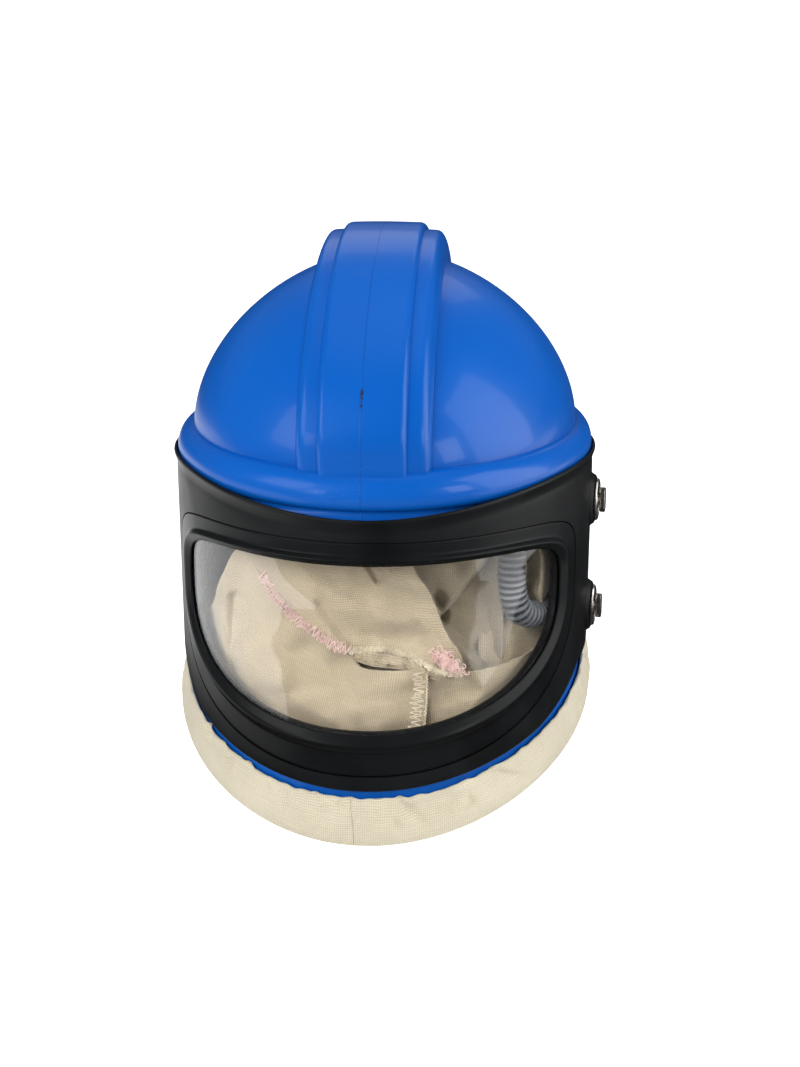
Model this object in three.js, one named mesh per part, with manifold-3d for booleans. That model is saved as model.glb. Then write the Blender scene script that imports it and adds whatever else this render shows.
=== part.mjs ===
// A sandblasting hood: a moulded blue shell with a two-step comb, a black window frame with a
// D-shaped window, two turn-locks, a canvas cape tucked up inside and a breathing tube.
//
// The hood is drawn upright, with the face towards -Y, the wearer's left towards +X and the
// crease between crown and bead at Z = 0. At the end it is leaned back until its slanted rim
// lies flat on the ground, and moved so that the middle of its footprint is the origin.
import * as THREE from "three";
import { mergeVertices } from "three/addons/utils/BufferGeometryUtils.js";
import Module from "manifold-3d";

const wasm = await Module();
wasm.setup();

// Driving dimensions: lengths in millimetres, angles in degrees.
const CROWN_HALF_WIDTH = 116;
const CROWN_HALF_DEPTH = 140;
const CROWN_RISE = 100;
const CROWN_ROUNDNESS = 1.8; // exponent of the crown's curve: 2 is an ellipse, less is more pointed
const WALL = 3;

const COMB_WIDTH = 72;
const COMB_RIDGE_WIDTH = 48; // the upper step
const COMB_STEP_TOP = 12.5; // the lower step's height at the top of the crown
const COMB_STEP_FOOT = 4.5; // and where it runs into the bead
const COMB_RIDGE_RISE = 4; // from the lower step to the upper one
const COMB_RIDGE_EDGE = 5; // width of the upper step's rounded edge
const COMB_EDGE = 7; // width of the lower step's rounded edge

const BEAD_REACH = 10; // how far the rolled bead stands out from the crown
const BEAD_HEIGHT = 21;
const NECK_REACH = 4.5;
const NECK_HEIGHT = 5;

const SKIRT_REACH = 7; // the skirt under the frame, out from the crown's edge
const CHIN_DROP = 205; // from the crease down to the rim at the face
const CHIN_PUSH = 11; // how far the chin stands forward of the bead
const RIM_LEAN = 14; // the rim's slant, and how far the resting hood leans back
const FLANGE_FLARE = 5;
const FLANGE_HEIGHT = 16;

const WINDOW_HALF_ANGLE = 58;
const WINDOW_TOP_DROP = 50; // below the crease
const WINDOW_HEIGHT = 95.5;
const WINDOW_SHOULDER = 35; // from the window's top down to its widest level
const WINDOW_TOP_SQUARENESS = 5;
const WINDOW_BOTTOM_SQUARENESS = 2.2;
const GASKET_TOP_WIDTH = 13;
const GASKET_SIDE_WIDTH = 22;
const GASKET_BOTTOM_WIDTH = 24;
const GASKET_THICK = 3.2;
const GASKET_LIP_RISE = 2.4; // the rolled lip above the gasket's flat band
const LENS_THICK = 2;

const FRAME_THICK = 3;
const FRAME_LIP_HEIGHT = 8;
const FRAME_LIP_FLARE = 1.7;
const FRAME_HALF_ANGLE = 105;
const FRAME_TOP_DROP = 24; // at the face
const FRAME_TOP_SWEEP = 11; // how much higher the top edge is at the temples
const FRAME_CHIN_BAND = 10.5; // the band below the gasket's outer edge
const FRAME_CHIN_DROP = WINDOW_TOP_DROP + WINDOW_HEIGHT + GASKET_BOTTOM_WIDTH + FRAME_CHIN_BAND;
const FRAME_CHIN_SWEEP = 39; // how much higher the bottom edge is at the wings
const FRAME_WING_ANGLE = 73; // where the bottom edge has reached the wing's level
const FRAME_CORNER = 14;
const FRAME_HEM_GAP = 1; // at least this much shell shows between the band and the cape's hem

const CLOTH = 1.6;
const COLLAR_HEIGHT = 26;
const COLLAR_BULGE = 2.6; // how far it stands out from the flange's edge
const COLLAR_GATHERS = 16;
const COLLAR_GATHER_DEPTH = 0.5;
const COLLAR_LEG = 22; // how far it is turned up inside

const LOCK_ANGLE = 84;
const LOCK_FACE_ANGLE = 79; // the way the locks face, a little towards the front
const LOCK_UPPER_DROP = 47;
const LOCK_LOWER_DROP = 115;
const LOCK_PAD_RISE = 3;
const LOCK_PAD_SIZE = [11, 16.5]; // half width and half height of the pad's top
const LOCK_PAD_SLOPE = 3;
const PLATE_SIZE = [8.5, 14];
const PLATE_THICK = 1;
const PLATE_RISE = 1.6;
const PLATE_HOLE_RADIUS = 3.4;
const KNOB_LENGTH = 15.5;
const KNOB_WIDTH = 6;
const KNOB_THICK = 3.4;
const KNOB_NECK_RADIUS = 2.4;
const KNOB_LIFT = 2.6; // from the pad to the underside of the bar

const RIVET_ANGLE = 95;
const RIVET_HEAD_RADIUS = 6;
const RIVET_HEAD_RISE = 2;
const RIVET_SHANK_RADIUS = 2.2;

const TUBE_DIAMETER = 16.5;
const TUBE_RIB_DEPTH = 1.2;
const TUBE_RIB_PITCH = 6.2;
const DISC_RADIUS = 17;
const DISC_THICK = 5;
const DISC_ANGLE = 88;
const DISC_DROP = 100;

const TUCK_HEIGHT_FRONT = 90; // above the rim
const TUCK_HEIGHT_BACK = 42;
const FOLD_TOP_DROP = 36; // the hanging fold's top edge, below the crease
const FOLD_BOTTOM_DROP = 150;

const SEAT_GAP = 0.3; // between pieces that touch
const FACET_SLACK = 0.85; // the most that a flat facet cuts inside the curve it follows

const BLUE = 0x0d62cc;
const BLACK = 0x26282a;
const CANVAS = 0xd2ccb4;
const METAL = 0xb9bab6;
const GREY = 0x777c84;

const rad = THREE.MathUtils.degToRad;
const lerp = THREE.MathUtils.lerp;
const clamp = THREE.MathUtils.clamp;
const range = (count) => Array.from({ length: count }, (unused, i) => i);
const RIM_SLOPE = Math.tan(rad(RIM_LEAN));
const NECK_TOP = -BEAD_HEIGHT;
const SKIRT_TOP = -BEAD_HEIGHT - NECK_HEIGHT;

// Materials

function material(color, roughness, metalness = 0) {
  return new THREE.MeshStandardMaterial({ color, roughness, metalness });
}

const bluePlastic = material(BLUE, 0.28);
const blackRubber = material(BLACK, 0.5);
const clearPlastic = material(0xffffff, 0.05);
clearPlastic.transparent = true;
clearPlastic.opacity = 0.25;
const canvas = material(CANVAS, 0.95);
const platedSteel = material(METAL, 0.3, 1);
const greyPlastic = material(GREY, 0.6);

// Closed meshes

// Points and index triples become a geometry whose faces point outwards.
function closedGeometry(points, triangles) {
  let volume = 0;
  for (const [a, b, c] of triangles) {
    volume += points[a].dot(new THREE.Vector3().crossVectors(points[b], points[c]));
  }
  const order = volume < 0 ? [0, 2, 1] : [0, 1, 2];
  const geometry = new THREE.BufferGeometry().setFromPoints(points);
  geometry.setIndex(triangles.flatMap((t) => order.map((k) => t[k])));
  geometry.computeVertexNormals();
  return geometry;
}

// The triangles between consecutive closed rings; the last ring joins the first when looped.
function ringTriangles(ringCount, size, looped) {
  const triangles = [];
  const bands = looped ? ringCount : ringCount - 1;
  for (let i = 0; i < bands; i += 1) {
    for (let j = 0; j < size; j += 1) {
      const near = i * size;
      const far = ((i + 1) % ringCount) * size;
      const next = (j + 1) % size;
      triangles.push([near + j, far + j, far + next], [near + j, far + next, near + next]);
    }
  }
  return triangles;
}

// A ring of sections that closes on itself, such as a gasket.
function loopedSolid(rings) {
  return closedGeometry(rings.flat(), ringTriangles(rings.length, rings[0].length, true));
}

// A stack of rings, closed at each end by a fan round the given point or the ring's middle.
function stackedSolid(rings, startPoint, endPoint) {
  const size = rings[0].length;
  const points = rings.flat();
  const triangles = ringTriangles(rings.length, size, false);
  const middle = (ring) => {
    const sum = ring.reduce((total, p) => total.add(p), new THREE.Vector3());
    return sum.divideScalar(ring.length);
  };
  const start = points.push(startPoint || middle(rings[0])) - 1;
  const end = points.push(endPoint || middle(rings.at(-1))) - 1;
  const last = (rings.length - 1) * size;
  for (let j = 0; j < size; j += 1) {
    const next = (j + 1) % size;
    triangles.push([start, j, next], [end, last + next, last + j]);
  }
  return closedGeometry(points, triangles);
}

// A strip of sections with flat ends, where a section may be hollowed or hooked.
function strippedSolid(rings, outline) {
  const size = rings[0].length;
  const faces = THREE.ShapeUtils.triangulateShape(outline, []);
  const last = (rings.length - 1) * size;
  const triangles = ringTriangles(rings.length, size, false);
  const clockwise = THREE.ShapeUtils.isClockWise(outline);
  for (const face of faces) {
    const [a, b, c] = clockwise ? face : [face[0], face[2], face[1]];
    triangles.push([c, b, a], [last + a, last + b, last + c]);
  }
  return closedGeometry(rings.flat(), triangles);
}

// Solids that are joined and cut

function toSolid(geometry) {
  const bare = new THREE.BufferGeometry();
  bare.setAttribute("position", geometry.getAttribute("position"));
  bare.setIndex(geometry.index);
  const merged = mergeVertices(bare, 1e-4);
  const mesh = new wasm.Mesh({
    numProp: 3,
    vertProperties: new Float32Array(merged.getAttribute("position").array),
    triVerts: new Uint32Array(merged.index.array),
  });
  return new wasm.Manifold(mesh);
}

function toGeometry(solid) {
  const mesh = solid.getMesh();
  const geometry = new THREE.BufferGeometry();
  geometry.setAttribute("position", new THREE.BufferAttribute(mesh.vertProperties, 3));
  geometry.setIndex(new THREE.BufferAttribute(mesh.triVerts, 1));
  geometry.computeVertexNormals();
  return geometry;
}

// The hood's plan, skirt and rim

// A point on the plan at an angle from the face, out from the crown's edge by reach, with the
// front pushed forward.
function planPoint(angle, reach, push, z) {
  const turn = rad(angle);
  const front = Math.max(0, Math.cos(turn)) ** 2;
  const depth = CROWN_HALF_DEPTH + reach + push * front;
  return new THREE.Vector3(
    (CROWN_HALF_WIDTH + reach) * Math.sin(turn),
    -depth * Math.cos(turn),
    z,
  );
}

// The slanted plane of the shell's rim, or a plane above it.
function rimPlane(y, above = 0) {
  const chinY = planPoint(0, SKIRT_REACH, CHIN_PUSH, 0).y;
  return -CHIN_DROP + RIM_SLOPE * (y - chinY) + above / Math.cos(rad(RIM_LEAN));
}

// The skirt's outside at an angle and height, moved out by offset.
function skirtPoint(angle, z, offset = 0) {
  const foot = rimPlane(planPoint(angle, SKIRT_REACH, CHIN_PUSH, 0).y);
  const share = clamp((SKIRT_TOP - z) / (SKIRT_TOP - foot), 0, 1.1);
  return planPoint(angle, SKIRT_REACH + offset, CHIN_PUSH * share ** 2, z);
}

// A point of the skirt at a height above the rim plane, moved out by offset.
function rimPoint(angle, above, offset) {
  const guess = rimPlane(planPoint(angle, SKIRT_REACH, CHIN_PUSH, 0).y, above);
  const point = skirtPoint(angle, guess, offset);
  point.z = rimPlane(point.y, above);
  return point;
}

// The flare of the shell's foot flange at a height above the rim plane.
function flangeFlare(above) {
  return FLANGE_FLARE * clamp(1 - above / FLANGE_HEIGHT, 0, 1) ** 1.3;
}

function turns(count) {
  return range(count).map((i) => (360 * i) / count);
}

// Shell

function crownRing(lift, inset, count) {
  const across = Math.cos(rad(lift)) ** (2 / CROWN_ROUNDNESS);
  const up = Math.sin(rad(lift)) ** (2 / CROWN_ROUNDNESS);
  return turns(count).map((angle) => new THREE.Vector3(
    (CROWN_HALF_WIDTH - inset) * across * Math.sin(rad(angle)),
    -(CROWN_HALF_DEPTH - inset) * across * Math.cos(rad(angle)),
    (CROWN_RISE - inset) * up,
  ));
}

function shellOutside() {
  const count = 52;
  const rings = [80, 67, 54, 41, 28, 16, 6].map((lift) => crownRing(lift, 0, count));
  const beadSteps = 6;
  for (const step of range(beadSteps + 1)) {
    const roll = Math.PI * (0.5 - step / beadSteps);
    const reach = (NECK_REACH * step) / beadSteps
      + (BEAD_REACH - NECK_REACH / 2) * Math.cos(roll);
    const z = -(BEAD_HEIGHT / 2) * (1 - Math.sin(roll));
    rings.push(turns(count).map((angle) => planPoint(angle, reach, 0, z)));
  }
  rings.push(turns(count).map((angle) => skirtPoint(angle, SKIRT_TOP)));
  for (const share of [0.3, 0.57, 0.8]) {
    rings.push(turns(count).map((angle) => {
      const foot = rimPoint(angle, FLANGE_HEIGHT, 0).z;
      return skirtPoint(angle, lerp(SKIRT_TOP, foot, share));
    }));
  }
  for (const share of [1, 0.5, 0]) {
    const above = FLANGE_HEIGHT * share;
    rings.push(turns(count).map((angle) => rimPoint(angle, above, flangeFlare(above))));
  }
  return stackedSolid(rings, new THREE.Vector3(0, 0, CROWN_RISE));
}

function shellInside() {
  const count = 36;
  const rings = [75, 52, 32, 14].map((lift) => crownRing(lift, WALL, count));
  rings.push(turns(count).map((angle) => planPoint(angle, -WALL, 0, 0)));
  rings.push(turns(count).map((angle) => planPoint(angle, NECK_REACH - WALL, 0, NECK_TOP)));
  rings.push(turns(count).map((angle) => skirtPoint(angle, SKIRT_TOP, -WALL)));
  rings.push(turns(count).map((angle) => {
    const foot = rimPoint(angle, FLANGE_HEIGHT, 0).z;
    return skirtPoint(angle, lerp(SKIRT_TOP, foot, 0.55), -WALL);
  }));
  for (const above of [FLANGE_HEIGHT, 0, -2 * WALL]) {
    rings.push(turns(count).map((angle) => rimPoint(angle, above, flangeFlare(above) - WALL)));
  }
  return stackedSolid(rings, new THREE.Vector3(0, 0, CROWN_RISE - WALL));
}

// The crown's middle line from the face over the top to the back, with its outward direction.
function crownLine(swing) {
  const power = 2 / CROWN_ROUNDNESS;
  const at = (a) => new THREE.Vector3(
    0,
    -CROWN_HALF_DEPTH * Math.sign(Math.cos(a)) * Math.abs(Math.cos(a)) ** power,
    CROWN_RISE * Math.sin(a) ** power,
  );
  const turn = rad(clamp(swing, 0.5, 179.5));
  const along = at(turn + 1e-3).sub(at(turn - 1e-3)).normalize();
  const out = new THREE.Vector3(0, -along.z, along.y);
  return { point: at(turn), out };
}

// The comb's section, half width against height, at a swing from the face (0) to the back (180).
function combSection(swing, inset) {
  const lift = Math.sin(rad(clamp(swing, 0, 180)));
  const step = lerp(COMB_STEP_FOOT, COMB_STEP_TOP, lift) - inset;
  const ridge = step + COMB_RIDGE_RISE;
  const half = COMB_WIDTH / 2 - inset;
  const ridgeHalf = COMB_RIDGE_WIDTH / 2 - inset;
  const follow = lerp(0.9, 0.2, lift) * 0.5 * half ** 2 / CROWN_HALF_WIDTH;
  const root = -follow / lerp(0.9, 0.2, lift) - 2 * WALL;
  const bend = (x) => -follow * (x / half) ** 2;
  const profile = [
    [0, ridge],
    [ridgeHalf - COMB_RIDGE_EDGE, ridge],
    [ridgeHalf - 0.3 * COMB_RIDGE_EDGE, ridge - 0.3 * COMB_RIDGE_EDGE],
    [ridgeHalf, step],
    [half - COMB_EDGE, step],
    [half - 0.3 * COMB_EDGE, 0.7 * step],
    [half, bend(half) * 0.2],
    [half, root],
  ].map(([x, h]) => [x, h + (h > 0 ? bend(x) : 0)]);
  const mirrored = profile.slice(1).reverse().map(([x, h]) => [-x, h]);
  return [...mirrored, ...profile];
}

function combSolid(inset) {
  const steps = 18;
  const swings = range(steps + 1).map((i) => (180 * i) / steps);
  const rings = swings.map((swing) => {
    const { point, out } = crownLine(swing);
    return combSection(swing, inset).map(([x, h]) =>
      new THREE.Vector3(x, 0, 0).add(point).addScaledVector(out, h));
  });
  const sunk = (ring) => ring.map((p) => new THREE.Vector3(p.x, p.y, p.z - BEAD_HEIGHT * 0.3));
  rings.unshift(sunk(rings[0]));
  rings.push(sunk(rings.at(-1)));
  const outline = combSection(0, inset).map(([x, h]) => new THREE.Vector2(x, h));
  return strippedSolid(rings, outline);
}

function makeShell() {
  const outside = toSolid(shellOutside()).add(toSolid(combSolid(0)));
  const inside = toSolid(shellInside()).add(toSolid(combSolid(WALL)));
  const opening = toSolid(windowPlug(0.2, -4 * WALL, 4 * WALL));
  return toGeometry(outside.subtract(inside).subtract(opening));
}

// Window: outlines between the opening (share 0) and the gasket's outer edge (share 1)

const WINDOW_STEPS = 48;
const WINDOW_LEVEL = -(WINDOW_TOP_DROP + WINDOW_SHOULDER);

function windowSpot(turn, share, shrink = 1) {
  const sideAngle = GASKET_SIDE_WIDTH / rad(CROWN_HALF_DEPTH);
  const halfAngle = WINDOW_HALF_ANGLE + share * sideAngle;
  const rise = WINDOW_SHOULDER + share * GASKET_TOP_WIDTH;
  const drop = WINDOW_HEIGHT - WINDOW_SHOULDER + share * GASKET_BOTTOM_WIDTH;
  const c = Math.cos(turn);
  const s = Math.sin(turn);
  const power = s > 0 ? WINDOW_TOP_SQUARENESS : WINDOW_BOTTOM_SQUARENESS;
  const radius = shrink / (Math.abs(c) ** power + Math.abs(s) ** power) ** (1 / power);
  return {
    angle: halfAngle * radius * c,
    z: WINDOW_LEVEL + radius * s * (s > 0 ? rise : drop),
  };
}

function windowRing(share, offset, shrink) {
  return range(WINDOW_STEPS).map((i) => {
    const { angle, z } = windowSpot((2 * Math.PI * i) / WINDOW_STEPS, share, shrink);
    return skirtPoint(angle, z, offset);
  });
}

// A curved plug of the window's outline between two offsets from the skirt.
function windowPlug(share, low, high) {
  const shrinks = [0.3, 0.65, 1];
  const rings = [
    ...shrinks.map((k) => windowRing(share, low, k)),
    ...[...shrinks].reverse().map((k) => windowRing(share, high, k)),
  ];
  return stackedSolid(
    rings,
    skirtPoint(0, WINDOW_LEVEL, low),
    skirtPoint(0, WINDOW_LEVEL, high),
  );
}

const GASKET_SEAT = SEAT_GAP + FACET_SLACK;
const LENS_SHARE = 0.28;
const GASKET_FLAT = GASKET_SEAT + GASKET_THICK;
const LENS_TOP = GASKET_SEAT + LENS_THICK;

// The gasket's section: share from the opening to the outer edge, and offset from the skirt.
const GASKET_SECTION = [
  [0, LENS_TOP + SEAT_GAP],
  [0, LENS_TOP + SEAT_GAP + 0.6],
  [0.16, GASKET_FLAT + 0.7 * GASKET_LIP_RISE],
  [0.26, GASKET_FLAT + GASKET_LIP_RISE],
  [0.37, GASKET_FLAT + 0.6 * GASKET_LIP_RISE],
  [0.45, GASKET_FLAT],
  [0.96, GASKET_FLAT],
  [1, GASKET_FLAT - 0.8],
  [1, GASKET_SEAT],
  [LENS_SHARE + 0.05, GASKET_SEAT],
  [LENS_SHARE + 0.05, LENS_TOP + SEAT_GAP],
];

function makeGasket() {
  const rings = range(WINDOW_STEPS).map((i) => GASKET_SECTION.map(([share, offset]) => {
    const { angle, z } = windowSpot((2 * Math.PI * i) / WINDOW_STEPS, share);
    return skirtPoint(angle, z, offset);
  }));
  return loopedSolid(rings);
}

function makeLens() {
  return windowPlug(LENS_SHARE, GASKET_SEAT, LENS_TOP);
}

// Frame

function easeIn(share) {
  const s = clamp(share, 0, 1);
  return s * s * (3 - 2 * s);
}

function frameEdges(angle) {
  const side = Math.abs(angle);
  const temple = 0.6 * FRAME_HALF_ANGLE;
  const top = -FRAME_TOP_DROP + FRAME_TOP_SWEEP * easeIn(side / temple)
    - 0.4 * FRAME_TOP_SWEEP * easeIn(side / temple - 1);
  const sweep = FRAME_CHIN_SWEEP * clamp(side / FRAME_WING_ANGLE, 0, 1) ** 2.4;
  const hem = rimPoint(angle, COLLAR_HEIGHT + COLLAR_FOOT + FRAME_HEM_GAP, 0).z;
  const bottom = Math.max(-FRAME_CHIN_DROP + sweep, hem);
  const toEnd = rad(FRAME_HALF_ANGLE - side) * CROWN_HALF_WIDTH;
  const into = clamp(FRAME_CORNER - toEnd, 0, FRAME_CORNER);
  const cut = FRAME_CORNER - Math.sqrt(FRAME_CORNER ** 2 - into ** 2);
  return { top: top - cut, bottom: bottom + cut };
}

const FRAME_SEAT = SEAT_GAP + FACET_SLACK;
const FRAME_FACE = FRAME_SEAT + FRAME_THICK;

// The frame band's section: which edge it is measured from, the distance and the offset.
function frameSection(angle) {
  const { top, bottom } = frameEdges(angle);
  const third = (top - bottom) / 3;
  const lip = FRAME_FACE + FRAME_LIP_FLARE;
  return [
    [bottom, FRAME_SEAT],
    [bottom, FRAME_FACE - 0.27 * FRAME_THICK],
    [bottom + 0.5 * FRAME_THICK, FRAME_FACE],
    [bottom + third, FRAME_FACE],
    [top - third, FRAME_FACE],
    [top - FRAME_LIP_HEIGHT, FRAME_FACE],
    [top - FRAME_LIP_HEIGHT / 2, lip - 0.3 * FRAME_THICK],
    [top, lip],
    [top, lip - 0.6 * FRAME_THICK],
    [top - FRAME_LIP_HEIGHT / 2, lip - 0.87 * FRAME_THICK],
    [top - FRAME_LIP_HEIGHT, FRAME_SEAT],
    [top - third, FRAME_SEAT],
    [bottom + third, FRAME_SEAT],
  ];
}

function frameBand() {
  const steps = 34;
  const corner = FRAME_CORNER / rad(CROWN_HALF_WIDTH);
  const angles = range(steps + 1).map((i) => FRAME_HALF_ANGLE * (2 * (i / steps) - 1));
  for (const share of [0.12, 0.35]) {
    angles.push(-FRAME_HALF_ANGLE + share * corner, FRAME_HALF_ANGLE - share * corner);
  }
  angles.sort((a, b) => a - b);
  const rings = angles.map((angle) =>
    frameSection(angle).map(([z, offset]) => skirtPoint(angle, z, offset)));
  const outline = frameSection(FRAME_HALF_ANGLE).map(([z, offset]) =>
    new THREE.Vector2(offset, z));
  return strippedSolid(rings, outline);
}

// The local frame of a fastener: X along the skirt, Y up and Z outward.
function fastenerMatrix(angle, faceAngle, z, offset) {
  const out = new THREE.Vector3(Math.sin(rad(faceAngle)), -Math.cos(rad(faceAngle)), 0);
  const up = new THREE.Vector3(0, 0, 1);
  const side = new THREE.Vector3().crossVectors(up, out);
  return new THREE.Matrix4()
    .makeBasis(side, up, out)
    .setPosition(skirtPoint(angle, z, offset));
}

function lockMatrix(drop) {
  return fastenerMatrix(LOCK_ANGLE, LOCK_FACE_ANGLE, -drop, FRAME_FACE + LOCK_PAD_RISE);
}

function rivetMatrix(drop) {
  return fastenerMatrix(-RIVET_ANGLE, -RIVET_ANGLE, -drop, FRAME_FACE);
}

// The raised pad under a lock: its foot follows the band, its top is flat.
function lockPad(drop) {
  const count = 14;
  const [halfWidth, halfHeight] = LOCK_PAD_SIZE;
  const matrix = lockMatrix(drop);
  const foot = turns(count).map((turn) => {
    const x = (halfWidth + LOCK_PAD_SLOPE) * Math.cos(rad(turn));
    const y = (halfHeight + LOCK_PAD_SLOPE) * Math.sin(rad(turn));
    return skirtPoint(LOCK_ANGLE + x / rad(CROWN_HALF_DEPTH), y - drop, 0.5 * FRAME_FACE);
  });
  const top = turns(count).map((turn) => {
    const x = halfWidth * Math.cos(rad(turn));
    const y = halfHeight * Math.sin(rad(turn));
    return new THREE.Vector3(x, y, 0).applyMatrix4(matrix);
  });
  return stackedSolid([foot, top], skirtPoint(LOCK_ANGLE, -drop, 0.5 * FRAME_FACE));
}

// A pin along a fastener's outward axis, as a cutter for its hole.
function borer(matrix, radius, depth) {
  const pin = new THREE.CylinderGeometry(radius, radius, 2 * depth, 12);
  pin.rotateX(Math.PI / 2);
  return toSolid(pin.applyMatrix4(matrix));
}

function makeFrame() {
  const opening = toSolid(windowPlug(1.025, -2 * FRAME_THICK, 4 * FRAME_THICK));
  let solid = toSolid(frameBand()).subtract(opening);
  for (const drop of [LOCK_UPPER_DROP, LOCK_LOWER_DROP]) {
    const depth = FRAME_FACE + LOCK_PAD_RISE;
    solid = solid.add(toSolid(lockPad(drop)));
    solid = solid.subtract(borer(lockMatrix(drop), KNOB_NECK_RADIUS + SEAT_GAP, depth));
    solid = solid.subtract(borer(rivetMatrix(drop), RIVET_SHANK_RADIUS + SEAT_GAP, FRAME_FACE));
  }
  return toGeometry(solid);
}

// Turn-locks, drawn in their own frames: X across, Y up, Z outward from the pad

// The plate's section: share from the hole to the oval edge, and height.
const PLATE_SECTION = [
  [0, SEAT_GAP],
  [1, SEAT_GAP],
  [1, SEAT_GAP + 0.6 * PLATE_THICK],
  [0.9, SEAT_GAP + PLATE_RISE],
  [0.7, SEAT_GAP + PLATE_THICK],
  [0.25, SEAT_GAP + PLATE_THICK],
  [0, SEAT_GAP + PLATE_RISE],
];

function makePlate() {
  const rings = turns(14).map((turn) => {
    const c = Math.cos(rad(turn));
    const s = Math.sin(rad(turn));
    return PLATE_SECTION.map(([share, height]) => new THREE.Vector3(
      lerp(PLATE_HOLE_RADIUS, PLATE_SIZE[0], share) * c,
      lerp(PLATE_HOLE_RADIUS, PLATE_SIZE[1], share) * s,
      height,
    ));
  });
  return loopedSolid(rings);
}

function makeKnob() {
  const end = KNOB_WIDTH / 2;
  const straight = KNOB_LENGTH / 2 - end;
  const outline = new THREE.Shape();
  outline.absarc(0, straight, end, 0, Math.PI);
  outline.absarc(0, -straight, end, Math.PI, 2 * Math.PI);
  const bevel = KNOB_THICK * 0.22;
  const bar = new THREE.ExtrudeGeometry(outline, {
    depth: KNOB_THICK - 2 * bevel,
    curveSegments: 5,
    bevelThickness: bevel,
    bevelSize: bevel,
    bevelOffset: -bevel,
    bevelSegments: 1,
  });
  bar.translate(0, 0, KNOB_LIFT + bevel);
  bar.deleteAttribute("normal");
  bar.deleteAttribute("uv");
  const depth = FRAME_THICK + LOCK_PAD_RISE;
  const reach = depth + KNOB_LIFT + KNOB_THICK / 2;
  const neck = new THREE.CylinderGeometry(KNOB_NECK_RADIUS, KNOB_NECK_RADIUS, reach, 12);
  neck.rotateX(Math.PI / 2);
  neck.translate(0, 0, reach / 2 - depth);
  return toGeometry(toSolid(mergeVertices(bar)).add(toSolid(neck)));
}

// A plain rivet: a domed head on the band and a shank through it.
function makeRivet() {
  const profile = [
    [0, RIVET_HEAD_RISE + SEAT_GAP],
    [0.6 * RIVET_HEAD_RADIUS, 0.8 * RIVET_HEAD_RISE + SEAT_GAP],
    [RIVET_HEAD_RADIUS, 0.3 * RIVET_HEAD_RISE + SEAT_GAP],
    [RIVET_HEAD_RADIUS, SEAT_GAP],
    [RIVET_SHANK_RADIUS, SEAT_GAP],
    [RIVET_SHANK_RADIUS, -FRAME_THICK],
    [0, -FRAME_THICK],
  ].reverse().map(([x, y]) => new THREE.Vector2(x, y));
  const rivet = new THREE.LatheGeometry(profile, 14);
  rivet.rotateX(Math.PI / 2);
  return toGeometry(toSolid(rivet));
}

// Cape: a collar turned round the flange, and the rest tucked up inside

const COLLAR_FOOT = -(SEAT_GAP + CLOTH + 0.3); // its flat underside, from the shell's rim plane
const COLLAR_INSIDE = -(WALL + SEAT_GAP + FACET_SLACK);

// The collar's section: offset from the skirt and height above its underside.
const COLLAR_OUT = FLANGE_FLARE + COLLAR_BULGE;
const HEM_SEAT = SEAT_GAP + FACET_SLACK;
const COLLAR_SECTION = [
  [HEM_SEAT, COLLAR_HEIGHT],
  [HEM_SEAT + CLOTH * 1.3, COLLAR_HEIGHT],
  [HEM_SEAT + CLOTH * 1.6, 0.85 * COLLAR_HEIGHT],
  [0.84 * COLLAR_OUT, 0.58 * COLLAR_HEIGHT],
  [COLLAR_OUT, 0.32 * COLLAR_HEIGHT],
  [COLLAR_OUT, 0.1 * COLLAR_HEIGHT],
  [FLANGE_FLARE + 1.2, 0],
  [COLLAR_INSIDE + 0.6, 0],
  [COLLAR_INSIDE - CLOTH, 0.1 * COLLAR_HEIGHT],
  [COLLAR_INSIDE - CLOTH, COLLAR_LEG],
  [COLLAR_INSIDE, COLLAR_LEG],
  [COLLAR_INSIDE, 0.12 * COLLAR_HEIGHT],
  [COLLAR_INSIDE + CLOTH, CLOTH],
  [FLANGE_FLARE + 0.8, CLOTH],
  [COLLAR_OUT - CLOTH, 0.2 * COLLAR_HEIGHT],
  [0.84 * COLLAR_OUT - CLOTH, 0.56 * COLLAR_HEIGHT],
];

function makeCollar() {
  const count = 3 * COLLAR_GATHERS;
  const rings = turns(count).map((turn, i) => {
    const gather = COLLAR_GATHER_DEPTH * (i % 3 === 0 ? 1 : 0);
    return COLLAR_SECTION.map(([offset, height], k) => {
      const outer = k > 0 && k < 6;
      const pulled = outer ? gather * (height / COLLAR_HEIGHT) : 0;
      return rimPoint(turn, height + COLLAR_FOOT, offset - pulled);
    });
  });
  return loopedSolid(rings);
}

const TUCK_INSET = CLOTH - COLLAR_INSIDE + 2 * SEAT_GAP;

// The cape's tucked wall: how high it stands above the rim at an angle, higher at the face.
function tuckHeight(angle) {
  const face = Math.max(0, Math.cos(rad(angle))) ** 2;
  return lerp(TUCK_HEIGHT_BACK, TUCK_HEIGHT_FRONT, face);
}

function tuckedWall() {
  const count = 54;
  const shares = [0, 0.5, 1];
  const rings = turns(count).map((turn) => {
    const height = tuckHeight(turn);
    const ripple = 1 - Math.cos(rad(9 * turn));
    const inset = (share) => TUCK_INSET + CLOTH * ripple * share;
    const outer = shares.map((share) => rimPoint(turn, height * share, -inset(share)));
    const inner = shares.map((share) => rimPoint(turn, height * share, -inset(share) - CLOTH));
    return [...outer, ...inner.reverse()];
  });
  return loopedSolid(rings);
}

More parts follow.
